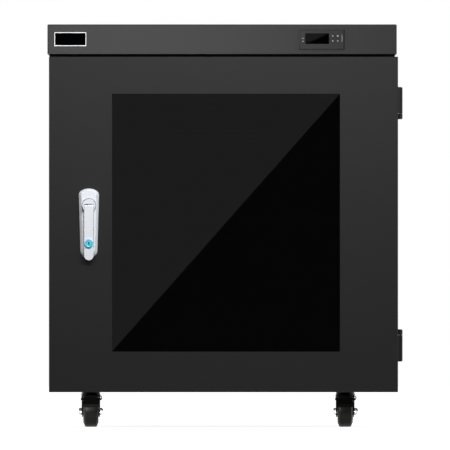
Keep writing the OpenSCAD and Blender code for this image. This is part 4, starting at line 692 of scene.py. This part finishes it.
# A cup round each swivel race closes the slit over the fork
for corner in wheelNames:
    at = swivels[corner + "_caster"] * (1, 1, 0)
    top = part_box(corner + "_fork")[1][2]
    cup = turned(softBar(race["r"], top - race["under"], top + race["over"], race["edge"]), at, "up", 56)
    piece(corner + "_race", [(cup, "caster_black")], corner + "_caster")
# The brakes' springs: a wire on a part of a flat ellipse that drifts along Y
for corner in wheelNames[:2]:
    _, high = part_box(corner + "_pedal")
    t = np.linspace(0, 1, 29)
    a = spring["start"] - t * spring["turn"]
    path = np.stack([high[0] + spring["out"] + spring["x"] * np.cos(a), high[1] - spring["back"] + spring["run"] * t,
                     spring["high"] + spring["z"] * np.sin(a)], -1)
    piece(corner + "_spring", [(wire(path, spring["wireR"]), "springSteel")], corner + "_caster")
print("casters made")

# The inlet's three blades get bright sheaths
inlet = {"at": ((-7, -1), (0, 3), (7, -1)), "w": 2.12 * mm, "h": 4.12 * mm, "corner": 0.3 * mm, "mouth": 3.9 * mm,
         "root": 1.9 * mm}
low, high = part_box("power_inlet")
cx, _, cz = middle("power_inlet")
outlines = [roundRect(cx + x * mm, cz + z * mm, inlet["w"], inlet["h"], inlet["corner"], 3) for x, z in inlet["at"]]
blades = joined([extruded(outline, high[1] - inlet["mouth"], low[1] + inlet["root"]) for outline in outlines])
piece("inletBlades", [(blades, "zinc_plate")], "cabinet")
print("inlet made")

# The stage: a far camera, a plain white world, and lamps that are partly kept to single pieces
stage = {"lens": 1690.0, "sensor": 36.0, "pixel": 1.7127 * mm, "frame": 450, "aim": (0.0, -0.2423, 0.3463),
         "world": 0.34, "floorPale": 0.8, "floorBounce": 0.18, "floorShine": 0.86, "floorHalf": 9,
         "floorLow": -0.4 * mm, "cardGap": 1.4, "cardHalf": 2.2, "cardHigh": 1.45, "tint": 0.25, "lap": 12 * mm}
distance = stage["pixel"] * stage["frame"] * stage["lens"] / stage["sensor"]
aimX, doorFront, aimZ = stage["aim"]
cameraData = bpy.data.cameras.new("camera")
cameraData.lens = stage["lens"]
cameraData.sensor_width = stage["sensor"]
cameraData.clip_start, cameraData.clip_end = 1.0, 200.0
camera = bpy.data.objects.new("camera", cameraData)
camera.location = (aimX, doorFront - distance, aimZ)
camera.rotation_euler = (math.pi / 2, 0, 0)
bpy.context.scene.collection.objects.link(camera)
bpy.context.scene.camera = camera
bpy.context.scene.view_settings.view_transform = "Standard"


# Mixes two shaders by whether the ray comes from the camera or by way of a mirror or glass
def seenOrNot(tree, hidden, seen):
    rays = tree.nodes.new("ShaderNodeLightPath")
    first = tree.nodes.new("ShaderNodeMath")
    second = tree.nodes.new("ShaderNodeMath")
    first.operation = second.operation = "MAXIMUM"
    mix = tree.nodes.new("ShaderNodeMixShader")
    links = tree.links
    links.new(rays.outputs["Is Camera Ray"], first.inputs[0])
    links.new(rays.outputs["Is Glossy Ray"], first.inputs[1])
    links.new(first.outputs[0], second.inputs[0])
    links.new(rays.outputs["Is Transmission Ray"], second.inputs[1])
    links.new(second.outputs[0], mix.inputs[0])
    links.new(hidden.outputs[0], mix.inputs[1])
    links.new(seen.outputs[0], mix.inputs[2])
    return mix


# A shader node in one grey
def plain(tree, kind, grey, strength=None):
    node = tree.nodes.new(kind)
    node.inputs["Color"].default_value = (grey, grey, grey, 1)
    if strength is not None:
        node.inputs["Strength"].default_value = strength
    return node


world = bpy.data.worlds.new("studio")
bpy.context.scene.world = world
world.use_nodes = True
tree = world.node_tree
tree.nodes.clear()
out = tree.nodes.new("ShaderNodeOutputWorld")
light = plain(tree, "ShaderNodeBackground", 1, stage["world"])
backdrop = plain(tree, "ShaderNodeBackground", 1, 1.0)
tree.links.new(seenOrNot(tree, light, backdrop).outputs[0], out.inputs[0])


# A flat face that belongs to the stage
def flatObject(name, corners, material):
    mesh = bpy.data.meshes.new(name)
    mesh.from_pydata([tuple(c) for c in corners], [], [tuple(range(len(corners)))])
    mesh.materials.append(material)
    obj = bpy.data.objects.new(name, mesh)
    bpy.context.scene.collection.objects.link(obj)
    return obj


# A card that only mirrors see, in one plain brightness
def card(name, corners, strength):
    material = bpy.data.materials.new(name)
    material.use_nodes = True
    tree = material.node_tree
    tree.nodes.clear()
    out = tree.nodes.new("ShaderNodeOutputMaterial")
    tree.links.new(plain(tree, "ShaderNodeEmission", 1, strength).outputs[0], out.inputs[0])
    obj = flatObject(name, corners, material)
    for view in ("camera", "diffuse", "shadow", "transmission", "volume_scatter"):
        setattr(obj, "visible_" + view, False)


# Where the camera's ray to (x, z) on a mirror at surfaceY meets the card after the mirror turns it back
def mirrored(x, z, surfaceY):
    reach = (stage["cardGap"] - (surfaceY - doorFront)) / distance
    return x * (1 + reach), cardY, z + (z - aimZ) * reach


# A card whose mirror image covers the upper left half of a pane, and a margin beyond its left edge
def splitCard(name, low, high, lap, margin, strength):
    left, right, bottom, top = low[0] + lap, high[0] - lap, low[2] + lap, high[2] - lap
    corners = ((right, top), (left - margin, top), (left - margin, bottom), (left, bottom))
    card(name, [mirrored(x, z, low[1]) for x, z in corners], strength)


cardY = doorFront - stage["cardGap"]
cardX, cardZ, back = stage["cardHalf"], stage["cardHigh"], cardY - 0.01
card("cardDark", [(-cardX, back, -0.05), (cardX, back, -0.05), (cardX, back, cardZ), (-cardX, back, cardZ)], 0.0)
card("cardFloor", [(-cardX, cardY, 0.002), (cardX, cardY, 0.002), (cardX, -0.3, 0.002), (-cardX, -0.3, 0.002)], 0.0)
splitCard("cardPane", *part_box("window_glass"), stage["lap"], 0.06, stage["tint"])
splitCard("cardLens", lensLow, lensHigh, 0.0, 0.01, stage["tint"] * 1.05)

lamps = {
    "leftLamp": {"at": (-2.4, -1.0, 1.5), "aim": (0, 0, 0.5), "size": (1.4, 1.4), "power": 6},
    "rightLamp": {"at": (2.4, -1.0, 1.5), "aim": (0, 0, 0.5), "size": (1.4, 1.4), "power": 6.5},
    "backLamp": {"at": (0.6, 2.6, 1.8), "aim": (0, 0, 0.4), "size": (1.8, 1.8), "power": 50},
    "doorLamp": {"at": (0, -1.25, 0.86), "aim": (0, -0.24, 0.38), "size": (1.1, 0.2), "power": 6.2,
                 "only": ["door_pan", "hinge_brackets", "hinge_blocks", "glass_retainer"]},
    "headLamp": {"at": (-0.18, -1.05, 0.7), "aim": (-0.1, -0.24, 0.66), "size": (0.6, 0.2), "power": 3.9,
                 "only": ["control_head", "consoleFrame", "consoleSigns", "badgeFrame"]
                         + ["cap_" + n for n in buttonNames]},
    "handleLamp": {"at": (0.0, -1.2, 1.1), "aim": (lockX, -0.24, lockZ), "size": (0.4, 0.3), "power": 16,
                   "only": ["dishCast", "bossCap", "leverCast", "sleeveRing", "coreFace"]},
    "wheelLamp": {"at": (-0.7, -1.1, 0.6), "aim": (0, -0.24, 0.04), "size": (0.5, 0.2), "power": 24,
                  "only": [c + "_tread" for c in wheelNames] + [n for n in nodes if n.endswith(("_fork", "_pedal"))],
                  "shades": ["floor"]},
    "axleLamp": {"at": (0.0, -1.2, 0.35), "aim": (0, -0.24, 0.03), "size": (0.5, 0.3), "power": 24,
                 "only": [c + "_bolt" for c in wheelNames]},
    "insideLamp": {"at": (0, -1.4, 0.28), "aim": (0, 0, 0.36), "size": (0.8, 0.1), "power": 13,
                   "only": [n for n in nodes if slotOf[n] in ("inside_paint", "body_paint", "desiccant", "grey_plastic")
                            or n in ("dryer_case", "dryer_grille", "shelf_uprights", "shelf_clips")]},
}

# The floor: seen, a pale surface that shines a little of its own and keeps the shadow; unseen, a darker one
material = bpy.data.materials.new("floor")
material.use_nodes = True
tree = material.node_tree
tree.nodes.clear()
out = tree.nodes.new("ShaderNodeOutputMaterial")
sheen = tree.nodes.new("ShaderNodeAddShader")
tree.links.new(plain(tree, "ShaderNodeBsdfDiffuse", stage["floorPale"]).outputs[0], sheen.inputs[0])
tree.links.new(plain(tree, "ShaderNodeEmission", 1, stage["floorShine"]).outputs[0], sheen.inputs[1])
bounce = plain(tree, "ShaderNodeBsdfDiffuse", stage["floorBounce"])
tree.links.new(seenOrNot(tree, bounce, sheen).outputs[0], out.inputs[0])
reach, low = stage["floorHalf"], stage["floorLow"]
flatObject("floor", [(-reach, -reach, low), (reach, -reach, low), (reach, reach, low), (-reach, reach, low)], material)

# The lamps, with the pieces that each is kept to and the objects that alone shade it
for name, lamp in lamps.items():
    data = bpy.data.lights.new(name, "AREA")
    data.energy = lamp["power"]
    data.shape = "RECTANGLE"
    data.size, data.size_y = lamp["size"]
    obj = bpy.data.objects.new(name, data)
    obj.location = lamp["at"]
    obj.rotation_euler = (Vector(lamp["aim"]) - Vector(lamp["at"])).to_track_quat("-Z", "Y").to_euler()
    bpy.context.scene.collection.objects.link(obj)
    if "only" in lamp:
        lit = bpy.data.collections.new(name + "Only")
        for one in lamp["only"]:
            lit.objects.link(bpy.data.objects[one] if one in bpy.data.objects else nodes[one])
        obj.light_linking.receiver_collection = lit
    if "shades" in lamp:
        shading = bpy.data.collections.new(name + "Shades")
        for one in lamp["shades"]:
            shading.objects.link(bpy.data.objects[one])
        obj.light_linking.blocker_collection = shading
print("stage set")
